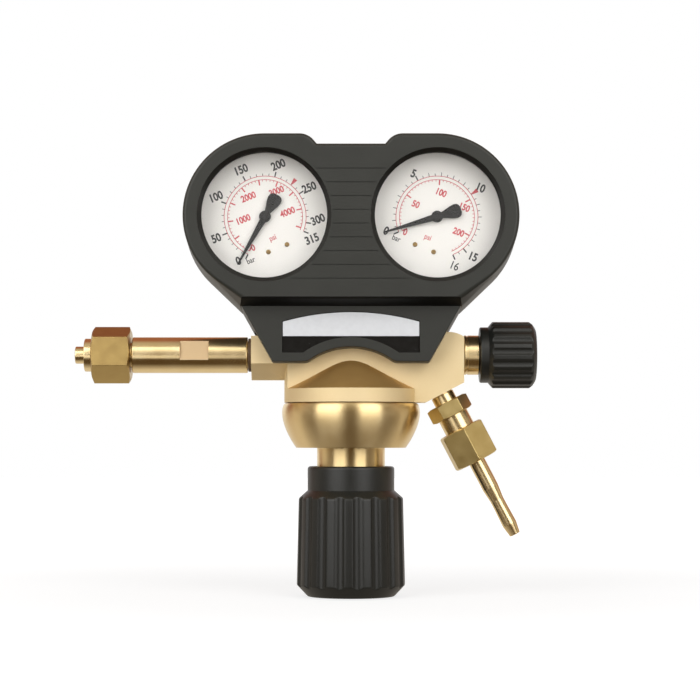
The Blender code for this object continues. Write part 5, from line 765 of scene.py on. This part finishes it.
def makeReliefCage():
    s = relief
    piece = turned("relief_valve_cage_turned", [(s["floor"] + 0.3, s["chamber"]),
        (s["floor"] + 0.3, s["spigot"], 0.2), (s["head"], s["spigot"]), (s["head"], s["radius"], 0.3),
        (s["headEnd"], s["radius"], 0.6), (s["headEnd"], s["vent"], 0.2), (s["ventFloor"], s["vent"]),
        (s["ventFloor"], s["chamber"])], reliefPlace, turnedBrass, 64)
    carve(piece, [slab("slot", oblong(s["slotLong"], s["slotHalf"]), s["headEnd"] - s["slotDepth"],
        s["headEnd"] + 1, reliefPlace)])
    settle(smoothed(piece), "regulator", "relief_valve_cage")


makeReliefCage()
print("gland and relief valve made")


cover = {"front": -28.0, "split": 1.0, "seam": 0.05, "back": 16.0, "wall": 2.5,
    "radius": 35.5, "edge": 1.7, "draft": 0.045, "top": 95.7, "notchDepth": 4.5, "notchHalf": 15.0,
    "notchRound": 8.0, "notchAngle": 50.0, "frontLedgeZ": 24.0, "frontLedgeHalf": 47.6,
    "ledgeZ": 21.2, "ledgeHalf": 48.4, "panelFront": -19.0, "panelEdge": 0.6, "panelShoulderZ": 21.3,
    "panelShoulderHalf": 48.3, "panelIndent": 4.0, "panelBottomZ": -3.6, "panelBottomHalf": 34.3,
    "archRadius": 31.5, "archZ": -28.6, "archSoft": 5.0, "tipSoft": 1.0, "opening": 27.4,
    "bevel": 1.9, "ribCount": 9, "ribPitch": 6.0, "ribTop": 80.3, "ribWidth": 0.4, "ribDepth": 0.22,
    "ribClear": 30.2, "recessDepth": 1.4, "recessHalf": 30.2, "recessSideZ": 14.2, "recessTopZ": 18.4,
    "recessBottomZ": 0.4, "recessArch": 35.8, "labelBottomZ": 7.6, "labelThick": 0.8,
    "screws": {"top": (0.0, 84.0), "centre": (0.0, 33.0), "left": (-38.5, 16.4), "right": (38.5, 16.4)},
    "boss": 3.2, "pilot": 1.55, "pilotFloor": -6.4, "sink": 3.0, "sinkFloor": 13.9, "spaceLow": -25.2,
    "spaceHigh": 10.5, "spaceHalfDepth": 10.3}
coverScrew = {"shape": [(-5.8, 0.6), (-4.6, 1.25), (14.2, 1.25), (14.2, 2.7, 0.2), (15.2, 2.6),
    (15.6, 1.9), (15.7, 0.0)], "slotLong": 1.5, "slotHalf": 0.28, "slotFloor": 14.9, "slotEnd": 17.0}


def inset(outline, distance):
    moved = []
    count = len(outline)
    for k, point in enumerate(outline):
        here = Vector(point)
        into = (here - Vector(outline[k - 1])).normalized()
        out = (Vector(outline[(k + 1) % count]) - here).normalized()
        sideIn = Vector((-into.y, into.x))
        sideOut = Vector((-out.y, out.x))
        middle = (sideIn + sideOut).normalized()
        moved.append(tuple(here + middle * distance / max(middle.dot(sideIn), 0.4)))
    return moved


def coverOutline(ledgeZ, ledgeHalf):
    s = cover
    out, down = ledgeHalf - gauges["x"], ledgeZ - gauges["z"]
    touch = math.degrees(math.atan2(down, out) + math.acos(s["radius"] / math.hypot(out, down)))
    right = [(ledgeHalf, ledgeZ)] + arc(s["radius"], 44, (gauges["x"], gauges["z"]), touch, 90 - touch)
    bend = math.radians(s["notchAngle"])
    dropArc = s["notchRound"] * (1 - math.cos(bend))
    runStraight = (s["notchDepth"] - dropArc) / math.tan(bend)
    start = s["notchHalf"] + runStraight + s["notchRound"] * math.sin(bend)
    for k in range(9):
        a = bend * k / 8
        right.append(
            (start - s["notchRound"] * math.sin(a), s["top"] - s["notchRound"] * (1 - math.cos(a))))
    right.append((s["notchHalf"], s["top"] - s["notchDepth"]))
    return right + [(-x, z) for x, z in reversed(right)]


def panelOutline(top, soft):
    s = cover
    foot = math.degrees(math.acos((s["panelBottomZ"] - s["archZ"]) / s["archRadius"]))
    arch = arc(s["archRadius"], 14, (0.0, s["archZ"]), 90 + foot, -2 * foot)
    topHalf = s["panelShoulderHalf"] - s["panelIndent"]
    arch[0] = arch[0] + (s["archSoft"] * soft,)
    arch[-1] = arch[-1] + (s["archSoft"] * soft,)
    return softCorners([(s["panelShoulderHalf"], s["panelShoulderZ"]), (topHalf, top), (-topHalf, top),
        (-s["panelShoulderHalf"], s["panelShoulderZ"]), (-s["panelBottomHalf"], s["panelBottomZ"],
        s["tipSoft"] * soft)] + arch + [(s["panelBottomHalf"], s["panelBottomZ"], s["tipSoft"] * soft)])


def housing(depth, wall=0.0):
    s = cover
    share = min(1.0, (depth - s["front"]) / (s["panelFront"] - s["front"]))
    outline = coverOutline(s["frontLedgeZ"] + (s["ledgeZ"] - s["frontLedgeZ"]) * share,
        s["frontLedgeHalf"] + (s["ledgeHalf"] - s["frontLedgeHalf"]) * share)
    outline = inset(outline, wall - s["draft"] * (depth - s["front"]))
    if depth < s["front"] + s["edge"] and wall < s["wall"]:  # the ledge's own edge stays crisp
        for corner, beside in ((0, 1), (-1, -2)):
            here = Vector(outline[corner])
            slope = here - Vector(outline[beside])
            outline[corner] = tuple(here + slope * (max(wall - 0.4, 0.0) / max(-slope.y, 0.1)))
    return outline


def lowerPanel(depth, wall=0.0, top=25.2):
    return inset(panelOutline(top, wall < cover["wall"]),
        wall - cover["draft"] * (depth - cover["panelFront"]))


def stacked(name, layers, look=None):
    shape = bmesh.new()
    rings = [[shape.verts.new((x * mm, z * mm, -depth * mm)) for x, z in outline]
        for outline, depth in layers]
    for one, two in zip(rings, rings[1:]):
        for k in range(len(one)):
            n = (k + 1) % len(one)
            shape.faces.new((one[k], one[n], two[n], two[k]))
    shape.faces.new(rings[0])
    shape.faces.new(rings[-1])
    return asPiece(name, shape, standing, look)


def roundedEnd(section, end, edge, inward, steps):
    # layers of the rounding at the front (inward 1) or at the back (inward -1)
    layers = []
    for k in range(steps + 1):
        a = math.radians(90 * k / steps)
        depth = end + inward * edge * (1 - math.cos(a))
        layers.append((section(depth, edge * (1 - math.sin(a))), depth))
    return layers[::inward]


def recessOutline(bottomZ, gap=0.0):
    s = cover
    half = s["recessHalf"] - gap
    rise = s["recessTopZ"] - s["recessSideZ"]
    radius = (half ** 2 + rise ** 2) / (2 * rise)
    reach = math.degrees(math.asin(half / radius))
    top = arc(radius, 24, (0.0, s["recessTopZ"] - gap - radius), 90 - reach, 2 * reach)
    if bottomZ > s["recessBottomZ"] + 0.3:
        return top + [(-half, bottomZ), (half, bottomZ)]
    foot = math.degrees(math.acos((bottomZ - s["archZ"]) / s["recessArch"]))
    arch = arc(s["recessArch"], 24, (0.0, s["archZ"]), 90 + foot, -2 * foot)
    return top + [(-half, bottomZ)] + arch + [(half, bottomZ)]


def bodySpace(front, back):
    low, high, reach = cover["spaceLow"], cover["spaceHigh"], 70.0
    return slab("body space", [(-reach, low), (reach, low), (reach, high), (-reach, high)], -back,
        -front, standing)


def hollows(upperDepths, lowerDepths):
    # the room inside the walls, behind the gauges and behind the lower panel
    wall = cover["wall"]
    tall = cover["ledgeZ"] + cover["panelIndent"] + 2 * wall
    return [stacked("hollow", [(housing(depth, wall), depth) for depth in upperDepths]),
        stacked("low hollow", [(lowerPanel(depth, wall, tall), depth) for depth in lowerDepths])]


def makeFrontCover():
    s = cover
    shell = roundedEnd(housing, s["front"], s["edge"], 1, 6) + [
        (housing(s["panelFront"]), s["panelFront"]), (housing(s["split"]), s["split"])]
    piece = stacked("front_cover_moulded", shell, coverNylon)
    # extra slots with darker nylon for painted shade: recess, opening bevels, ledge underside
    for look in (recessShadeNylon, ringShadeNylon, ledgeShadeNylon):
        piece.data.materials.append(look)
    lower = roundedEnd(lowerPanel, s["panelFront"], s["panelEdge"], 1, 3) + [
        (lowerPanel(s["split"]), s["split"])]
    carve(piece, [stacked("lower", lower)], "UNION")

    innerFront, bend, past = s["front"] + s["wall"], s["panelFront"], s["split"] + s["wall"]
    cutters = hollows((innerFront, bend, past), (bend + s["wall"], past))
    for x in (-gauges["x"], gauges["x"]):
        spot = fromFront(x, gauges["z"])
        wide = s["opening"] + s["bevel"]
        # the bevel round each opening takes the near-black ring nylon, which is painted shade
        cutters.append(rod("opening", [(s["front"] - 1, wide), (s["front"] + 0.4, wide, 0.3),
            (s["front"] + 1.5, s["opening"] + 0.5, 0.6), (s["front"] + 2.0, s["opening"], 0.2),
            (innerFront + 1, s["opening"])], spot, ringShadeNylon, 128))
    carve(piece, cutters)

    grooves = []
    for k in range(s["ribCount"]):
        z = s["ribTop"] - s["ribPitch"] * k
        half = gauges["x"] - math.sqrt(s["ribClear"] ** 2 - (z - gauges["z"]) ** 2)
        w, d = s["ribWidth"], s["ribDepth"]
        section = [(-w / 2 - 0.1, -0.5), (w / 2 + 0.1, -0.5), (w / 2, 0.0), (w / 4, d), (-w / 4, d),
            (-w / 2, 0.0)]
        grooves.append(slab("groove", [(-b, a) for a, b in section], -half, half,
            upright @ shift(0, s["front"], z) @ alongX @ Matrix.Rotation(math.pi / 2, 4, "Z")))
    carve(piece, grooves)
    # the label recess takes the near-black recess nylon, which is painted shade
    recess = slab("recess", recessOutline(s["recessBottomZ"]), -bend - s["recessDepth"], -bend + 1,
        standing, recessShadeNylon)
    carve(piece, [recess, bodySpace(-s["spaceHalfDepth"], s["split"] + 1)])

    bosses, pilots = [], []
    for x, z in s["screws"].values():
        spot = fromFront(x, z)
        root = (s["front"] if z > s["ledgeZ"] else bend) + s["wall"] - 0.3
        bosses.append(rod("boss", [(root, s["boss"]), (s["split"] - 0.3, s["boss"])], spot, None, 24))
        pilots.append(rod("pilot", [(s["pilotFloor"], s["pilot"]), (s["split"], s["pilot"])],
            spot, None, 24))
    carve(piece, bosses, "UNION")
    carve(piece, pilots)
    for side in piece.data.polygons:  # the ledge's underside takes the darker, duller ledge nylon: painted shade
        at = side.center / mm
        onLedge = s["ledgeZ"] - 0.6 < at.y < s["frontLedgeZ"] + 0.6 and at.z > -s["panelFront"] + 0.1
        if side.normal.y < -0.5 and onLedge:
            side.material_index = 3
    settle(smoothed(piece, 24), "regulator", "front_cover")


def makeLabel():
    s = cover
    back = s["panelFront"] + s["recessDepth"] - 0.3
    plate = slab("label_plate_bare", recessOutline(s["labelBottomZ"], 0.3), -back,
        s["labelThick"] - back, standing, labelFilm)
    softEdges(plate, 0.12, 60, 2)
    settle(smoothed(plate, 50), "regulator", "label_plate")


def makeRearCover():
    s = cover
    start = s["split"] + s["seam"]
    piece = stacked("rear_cover_moulded", [(housing(start), start)]
        + roundedEnd(housing, s["back"], s["edge"], -1, 5), coverNylon)
    lower = [(lowerPanel(start), start)] + roundedEnd(lowerPanel, s["back"] - 0.15,
        s["panelEdge"], -1, 3)
    carve(piece, [stacked("lower", lower)], "UNION")
    before, innerBack = s["split"] - s["wall"], s["back"] - s["wall"]
    cutters = hollows((before, innerBack), (before, innerBack - 0.3))
    cutters.append(bodySpace(s["split"] - 1, s["spaceHalfDepth"]))
    around = relief["radius"] + 0.6  # clear of the cage
    slot = arc(around, 24, (relief["x"], 0.0), 0.0, 180.0)
    slot += [(relief["x"] - around, s["spaceLow"]), (relief["x"] + around, s["spaceLow"])]
    cutters.append(slab("relief slot", slot, -s["back"] - 1, 1 - s["spaceHalfDepth"], standing))
    carve(piece, cutters)
    posts, holes = [], []
    for x, z in s["screws"].values():
        spot = fromFront(x, z)
        posts.append(rod("post", [(s["split"] + 0.6, s["boss"]), (innerBack + 0.3, s["boss"])], spot))
        holes.append(rod("hole",
            [(s["split"], s["pilot"]), (s["sinkFloor"], s["pilot"]), (s["sinkFloor"], s["sink"]),
            (s["back"] - 0.3, s["sink"]), (s["back"] + 0.3, s["sink"] + 0.6)], spot, None, 48))
    carve(piece, posts, "UNION")
    carve(piece, holes)
    settle(smoothed(piece, 24), "regulator", "rear_cover")


def makeCoverScrews():
    s = coverScrew
    for name, (x, z) in cover["screws"].items():
        spot = fromFront(x, z)
        screw = turned("cover_screw_" + name + "_recessed", [(s["shape"][0][0], 0.0)] + s["shape"],
            spot, zincSteel, 40)
        cross = [slab("cross", oblong(s["slotLong"], s["slotHalf"]), s["slotFloor"], s["slotEnd"],
            spot @ Matrix.Rotation(math.radians(turn), 4, "Z")) for turn in (45, 135)]
        carve(screw, cross)
        settle(smoothed(screw), "regulator", "cover_screw_" + name)


makeFrontCover()
makeLabel()
makeRearCover()
makeCoverScrews()
print("covers made")


# What is printed reaches to shares of the opening's radius. Heights and widths are in mm.
dial = {"rest": 51.5, "zero": 46.5, "face": -15.8,
    "view": 27.4, "radius": 28.4, "thick": 0.8, "redOuter": 0.653, "redInner": 0.596, "tickBase": 0.662,
    "tick": {"major": 0.745, "whole": 0.72, "minor": 0.70}, "redTick": {"major": 0.515, "minor": 0.572},
    "boldLine": 0.6, "blackLine": 0.28, "redLine": 0.26, "ring": 0.28, "blackHeight": 3.5,
    "redHeight": 2.8, "unitHeight": 2.4, "unitBlack": (40.0, 0.74), "unitRed": (2.0, 0.36),
    "limit": [(-0.8, 0.67), (-2.6, 0.78), (2.6, 0.78), (0.8, 0.67)], "lift": 0.03, "screwSpread": 4.4,
    "screwDrop": -14.9, "screwHead": 1.0, "screwSlot": (1.3, 0.16)}
# numbers as (text, angle clockwise from the stem, radius as a share of the opening)
scales = {"high_pressure": {"perBar": 0.845, "full": 315, "minor": 10, "major": 50, "limit": 230,
    "black": [("0", 52.8, 0.83), ("50", 88.0, 0.856), ("100", 133.9, 0.852), ("150", 174.7, 0.849),
    ("200", 216.2, 0.862), ("250", 258.5, 0.849), ("300", 295.2, 0.85), ("315", 317.5, 0.835)],
    "psiMinor": 100, "psiMajor": 500, "red": [("0", 43.0, 0.534), ("1000", 104.4, 0.356),
    ("2000", 161.8, 0.415), ("3000", 226.0, 0.45), ("4000", 280.5, 0.368)]}, "delivery": {
    "perBar": 16.8, "full": 16, "minor": 0.5, "major": 5, "limit": 10, "black": [("0", 52.4, 0.849),
    ("5", 129.5, 0.79), ("10", 214.3, 0.838), ("15", 296.3, 0.863), ("16", 318.9, 0.838)],
    "psiMinor": 5, "psiMajor": 50, "red": [("0", 42.2, 0.567), ("50", 98.4, 0.396),
    ("100", 167.3, 0.393), ("150", 229.0, 0.462), ("200", 284.0, 0.426)]}}
psiPerBar = 14.5038
pointer = {"back": -17.0, "thick": 0.6, "tip": 24.2, "tipHalf": 0.3, "rootHalf": 1.4, "hub": 2.6,
    "cap": [(-0.75, 0.7, 0.2), (-0.5, 1.5, 0.3), (0.0, 1.9, 0.1), (0.1, 1.9)],
    "tail": [(2.35, 1.3), (4.5, 2.05), (6.6, 2.8), (8.6, 3.15), (9.8, 2.9), (10.6, 2.2), (11.0, 1.1)]}


def dialPoint(angle, radius):
    # angle is clockwise from the stem, as the reader sees it; the dial's plane has x right, y up
    a = math.radians(angle)
    return (-radius * math.sin(a), -radius * math.cos(a))


def bar(angle, inner, outer, width):
    a, b = Vector(dialPoint(angle, inner)), Vector(dialPoint(angle, outer))
    along = (b - a).normalized() * 0.5 * width
    side = Vector((-along.y, along.x))
    return [tuple(corner) for corner in (a - side, b - side, b + side, a + side)]


def band(startAngle, endAngle, inner, outer, steps):
    angles = [startAngle + (endAngle - startAngle) * k / steps for k in range(steps + 1)]
    return [[dialPoint(a, inner), dialPoint(b, inner), dialPoint(b, outer), dialPoint(a, outer)]
        for a, b in zip(angles, angles[1:])]


def numeral(text, height, at, condensed=0.84, sizeToHeight=1.42):
    curve = bpy.data.curves.new("numeral", "FONT")
    curve.body = text
    curve.size = height * sizeToHeight * mm
    curve.align_x = curve.align_y = "CENTER"
    bold = 0.05 if text.isdigit() and "6" not in text else 0.02  # the eye of a 6 stays open
    curve.offset = bold * height * mm
    piece = newObject("numeral", curve)
    bpy.context.view_layer.update()
    mesh = bpy.data.meshes.new_from_object(piece.evaluated_get(bpy.context.evaluated_depsgraph_get()))
    bpy.data.objects.remove(piece)
    mesh.transform(shift(at[0], at[1]) @ Matrix.Diagonal((condensed, 1, 1, 1)))
    mesh.materials.clear()
    return mesh


def makeDial(side):
    s, d = scales[side], dial
    place = gaugePlaces[side]
    view = d["view"]
    face = rod(side + "_dial_plate", [(d["face"], d["radius"], 0.1),
        (d["face"] + d["thick"], d["radius"], 0.1)], place @ alongY, dialEnamel, 96)
    settle(smoothed(face), "regulator", side + "_gauge_dial")

    black, red = [], []
    end = d["zero"] + s["full"] * s["perBar"]
    values = [k * s["minor"] for k in range(int(s["full"] / s["minor"]) + 1)] + [s["full"]]
    for value in values:
        bold = value % s["major"] == 0 or value == s["full"]
        kind = "major" if bold else ("whole" if side == "delivery" and value % 1 == 0 else "minor")
        black.append(bar(d["zero"] + value * s["perBar"], d["tickBase"] * view, d["tick"][kind] * view,
            d["boldLine"] if bold else d["blackLine"]))
    for radius in (d["redOuter"], d["redInner"]):
        red += band(d["zero"], end, radius * view, radius * view + d["ring"], 90)
    psi = 0
    while psi / psiPerBar <= s["full"]:
        bold = psi % s["psiMajor"] == 0
        red.append(bar(d["zero"] + psi / psiPerBar * s["perBar"], d["redTick"]["major" if bold
            else "minor"] * view, d["redInner"] * view, d["boldLine"] if bold else d["redLine"]))
        psi += s["psiMinor"]
    limit = d["zero"] + s["limit"] * s["perBar"]
    red.append([dialPoint(limit + angle, reach * view) for angle, reach in d["limit"]])
    blackWords = [(text, d["blackHeight"], angle, reach) for text, angle, reach in s["black"]]
    redWords = [(text, d["redHeight"], angle, reach) for text, angle, reach in s["red"]]
    blackWords.append(("bar", d["unitHeight"], *d["unitBlack"]))
    redWords.append(("psi", d["unitHeight"], *d["unitRed"]))

    for colour, shapes, words, look in (("black", black, blackWords, dialBlack),
            ("red", red, redWords, dialRed)):
        ink = bmesh.new()
        for outline in shapes:
            ink.faces.new([ink.verts.new((x * mm, y * mm, 0.0)) for x, y in outline])
        for text, height, angle, reach in words:
            mesh = numeral(text, height, dialPoint(angle, reach * view))
            ink.from_mesh(mesh)
            bpy.data.meshes.remove(mesh)
        piece = asPiece(side + "_dial_" + colour, ink,
            place @ facing @ shift(0, 0, -d["face"] + d["lift"]), look)
        for inkFace in piece.data.polygons:
            if inkFace.normal.z < 0:
                inkFace.flip()
        piece.data.update()
        settle(piece, "regulator")

    for k, x in enumerate((-d["screwSpread"], d["screwSpread"])):
        spot = place @ shift(x, 0, d["screwDrop"]) @ alongY
        wide, low = d["screwHead"], d["face"]
        head = rod(side + "_dial_screw_" + "ab"[k], [(low - 0.5, 0.6 * wide), (low - 0.3, wide),
            (low + 0.1, 1.1 * wide)], spot, dialScrewBrass, 24)
        slot = slab("slot", oblong(*d["screwSlot"]), low - 1, low - 0.3,
            spot @ Matrix.Rotation(0.5 + k, 4, "Z"))
        carve(head, [slot])
        settle(smoothed(head), "regulator")


def makePointer(side):
    p = pointer
    place = gaugePlaces[side]
    rootAngle = math.degrees(math.asin(p["rootHalf"] / p["hub"]))
    backAngle = math.degrees(math.asin(p["tail"][0][1] / p["hub"]))
    upper = arc(p["hub"], 14, start=rootAngle, sweep=180 - rootAngle - backAngle)
    upper += [(-x, y) for x, y in p["tail"][1:]]
    outline = [(p["tip"], -p["tipHalf"]), (p["tip"] + 0.2, 0.0), (p["tip"], p["tipHalf"])] + upper
    outline += [(x, -y) for x, y in reversed(upper)]
    aim = Matrix.Rotation(math.radians(90 + dial["rest"]), 4, "Y")
    needle = slab(side + "_pointer_needle", outline, -p["back"], -p["back"] + p["thick"],
        place @ aim @ facing, pointerBlack)
    softEdges(needle, 0.1, 50, 2)
    settle(smoothed(needle, 50), side + "_pointer", side + "_gauge_pointer")
    top = p["back"] - p["thick"]
    hub = rod(side + "_pointer_hub", [(top + point[0], *point[1:]) for point in p["cap"]],
        place @ alongY, pointerBlack, 40)
    settle(smoothed(hub), side + "_pointer")


gaugeCase = {"shell": [(9.0, 0.0), (9.0, 29.7, 0.6), (7.7, 31.0, 0.6), (-24.9, 31.0, 0.3),
    (-24.9, 29.7, 0.2), (-22.4, 29.7), (-22.4, 28.8, 0.15), (7.7, 28.8), (7.7, 0.0)],
    "stemHole": [(-33.0, 7.1), (-25.0, 7.1)], "window": [(-24.6, 29.4, 0.2), (-22.7, 29.4, 0.2)]}


def makeCase(side):
    level = Matrix.Translation(gaugePlaces[side].translation) @ alongY  # round, so it needs no tilt
    case = turned(side + "_gauge_case_drawn", gaugeCase["shell"], level, blackSteel, 96)
    carve(case, [rod("stem hole", gaugeCase["stemHole"], gaugePlaces[side])])
    settle(smoothed(case), "regulator", side + "_gauge_case")
    disc = rod(side + "_gauge_window_disc", gaugeCase["window"], level, clearWindow, 96)
    settle(smoothed(disc), "regulator", side + "_gauge_window")


for side in scales:
    makeDial(side)
    makePointer(side)
    makeCase(side)
print("gauges made")


# Walls and ceiling are what polished surfaces see, by how far back the reflected ray points: -1 is
# straight to the front, 1 straight behind.
studio = {"floorZ": -107.3,
    "floorRadius": 3000, "camera": (122.45, -959.0, -37.9), "tilt": 2.4, "lens": 110.57,
    "boxDistance": 1300.0, "boxes": {"left": (-39.0, 20.0, 1020.0), "right": (33.3, 20.0, 870.0)},
    "boxHeight": 1460.0, "boxRadiance": 2.5, "walls": ((-1.0, "#695C4C"), (-0.4, "#6C5D4B"),
    (-0.1, "#D2C8B8"), (0.35, "#D2C4B2"), (0.5, "#925F49"), (0.68, "#925F49"), (0.82, "#FFFFFF")),
    "ceiling": ((-0.2, "#CBC2B2"), (0.3, "#A86F58")), "ceilingFrom": (0.3, 0.5), "matt": 0.3}
# The paper's distances are in mm from the middle, or in mm toward the back.
paper = {"colour": "#969696", "glowReach": (150, 600), "glow": (0.74, 1.0), "dark": "#5A4A35",
    "pale": "#E2DACE", "paleReach": (-60, 35), "litReach": (-200, -380), "litFlank": (0.1, 0.3),
    "lit": (1.4, 1.35, 1.28, 1.0)}


def makeFloor():
    # Pale paper. It glows for the camera, so that only the soft shadow round the knob is darker than
    # white. For polished metal it glows with a painted reflection: bright under and behind the object,
    # and dark in front of it.
    s = paper
    material, tree, shader, place = newMaterial("pale paper floor",
        {"Base Color": toLinear(s["colour"]), "Roughness": 0.9})
    path = addNode(tree, "ShaderNodeLightPath")
    away = addNode(tree, "ShaderNodeVectorMath", {"operation": "LENGTH"}, {0: place})
    far = addNode(tree, "ShaderNodeMapRange", {"From Min": s["glowReach"][0] * mm,
        "From Max": s["glowReach"][1] * mm, "To Min": s["glow"][0], "To Max": s["glow"][1]},
        {"Value": away.outputs["Value"]})
    glow = addNode(tree, "ShaderNodeMath", {"operation": "MULTIPLY"},
        {0: path.outputs["Is Camera Ray"], 1: far})
    white = addNode(tree, "ShaderNodeEmission", {"Color": (1.0, 1.0, 1.0, 1.0)}, {"Strength": glow})
    both = addNode(tree, "ShaderNodeAddShader", {}, {0: shader, 1: white})
    parts = addNode(tree, "ShaderNodeSeparateXYZ", {}, {0: place})
    depth = addNode(tree, "ShaderNodeMapRange", {"From Min": s["paleReach"][0] * mm,
        "From Max": s["paleReach"][1] * mm}, {"Value": parts.outputs[1]})
    tint = addNode(tree, "ShaderNodeMix", {"data_type": "RGBA", 6: toLinear(s["dark"]),
        7: toLinear(s["pale"])}, {0: depth})
    # far in front, to either side of the middle, the painted reflection is bright where the softboxes
    # would light the paper
    ahead = addNode(tree, "ShaderNodeMapRange", {"From Min": s["litReach"][0] * mm,
        "From Max": s["litReach"][1] * mm}, {"Value": parts.outputs[1]})
    across = addNode(tree, "ShaderNodeMath", {"operation": "DIVIDE"}, {0: parts, 1: parts.outputs[1]})
    beside = addNode(tree, "ShaderNodeMath", {"operation": "ABSOLUTE"}, {0: across})
    flank = addNode(tree, "ShaderNodeMapRange",
        {"From Min": s["litFlank"][0], "From Max": s["litFlank"][1]}, {"Value": beside})
    lit = addNode(tree, "ShaderNodeMath", {"operation": "MULTIPLY"}, {0: ahead, 1: flank})
    sheet = addNode(tree, "ShaderNodeMix", {"data_type": "RGBA", 7: s["lit"]},
        {0: lit, 6: tint.outputs[2]})
    mirrored = addNode(tree, "ShaderNodeEmission", {"Strength": 1.0}, {"Color": sheet.outputs[2]})
    either = addNode(tree, "ShaderNodeMixShader", {},
        {0: path.outputs["Is Glossy Ray"], 1: both, 2: mirrored})
    tree.links.new(either.outputs[0], tree.nodes["Material Output"].inputs[0])
    floor = slab("floor", arc(studio["floorRadius"], 96), studio["floorZ"] - 2, studio["floorZ"],
        upright, material)


def makeWorld():
    # White for the camera and through the windows, and a plain pale light for matt surfaces. Polished
    # ones see the white straight behind, warm dim stretches beside it and in front, and paler walls.
    s = studio
    world = bpy.data.worlds.new("studio")
    bpy.context.scene.world = world
    world.use_nodes = True
    tree = world.node_tree
    tree.nodes.clear()
    out = addNode(tree, "ShaderNodeOutputWorld")
    path = addNode(tree, "ShaderNodeLightPath")
    away = addNode(tree, "ShaderNodeSeparateXYZ", {},
        {0: addNode(tree, "ShaderNodeTexCoord").outputs["Generated"]})
    turn = addNode(tree, "ShaderNodeMapRange", {"From Min": -1.0, "From Max": 1.0},
        {"Value": away.outputs[1]})
    bands = {}
    for name in ("walls", "ceiling"):
        bands[name] = addNode(tree, "ShaderNodeValToRGB", {}, {0: turn})
        ramp = bands[name].color_ramp
        for k, (back, hexColour) in enumerate(s[name]):
            stop = ramp.elements[k] if k < 2 else ramp.elements.new(1.0)
            stop.position = (back + 1) / 2
            stop.color = toLinear(hexColour)
    above = addNode(tree, "ShaderNodeMapRange",
        {"From Min": s["ceilingFrom"][0], "From Max": s["ceilingFrom"][1]}, {"Value": away.outputs[2]})
    seen = addNode(tree, "ShaderNodeMix", {"data_type": "RGBA"},
        {0: above, 6: bands["walls"].outputs[0], 7: bands["ceiling"].outputs[0]})
    polished = addNode(tree, "ShaderNodeBackground", {"Strength": 1.0}, {"Color": seen.outputs[2]})
    matt = addNode(tree, "ShaderNodeBackground", {"Color": (1.0, 1.0, 1.0, 1.0), "Strength": s["matt"]})
    white = addNode(tree, "ShaderNodeBackground", {"Color": (1.0, 1.0, 1.0, 1.0), "Strength": 1.0})
    indirect = addNode(tree, "ShaderNodeMixShader", {},
        {0: path.outputs["Is Glossy Ray"], 1: matt, 2: polished})
    direct = addNode(tree, "ShaderNodeMath", {"operation": "MAXIMUM"},
        {0: path.outputs["Is Camera Ray"], 1: path.outputs["Is Transmission Ray"]})
    either = addNode(tree, "ShaderNodeMixShader", {}, {0: direct, 1: indirect, 2: white})
    tree.links.new(either.outputs[0], out.inputs[0])


def makeLights():
    s = studio
    target = upright.translation
    for name, (azimuth, elevation, width) in s["boxes"].items():
        a, e = math.radians(azimuth), math.radians(elevation)
        back = Vector((math.sin(a) * math.cos(e), -math.cos(a) * math.cos(e), math.sin(e)))
        light = bpy.data.lights.new("softbox " + name, "AREA")
        light.shape = "RECTANGLE"
        light.size = width * mm
        light.size_y = s["boxHeight"] * mm
        light.energy = s["boxRadiance"] * math.pi * light.size * light.size_y
        lamp = newObject("softbox " + name, light)
        lamp.location = target + back * s["boxDistance"] * mm
        lamp.rotation_mode = "QUATERNION"
        lamp.rotation_quaternion = (-back).to_track_quat("-Z", "Y")


def makeCamera():
    s = studio
    camera = bpy.data.cameras.new("camera")
    camera.sensor_width = 36.0
    camera.lens = s["lens"]
    camera.clip_start = 0.01
    camera.clip_end = 20.0
    holder = newObject("camera", camera)
    holder.location = Vector(s["camera"]) * mm
    holder.rotation_euler = (math.radians(90 + s["tilt"]), 0.0, 0.0)
    bpy.context.scene.camera = holder


makeFloor()
makeWorld()
makeLights()
makeCamera()
bpy.context.scene.view_settings.view_transform = "Standard"
print("studio made")
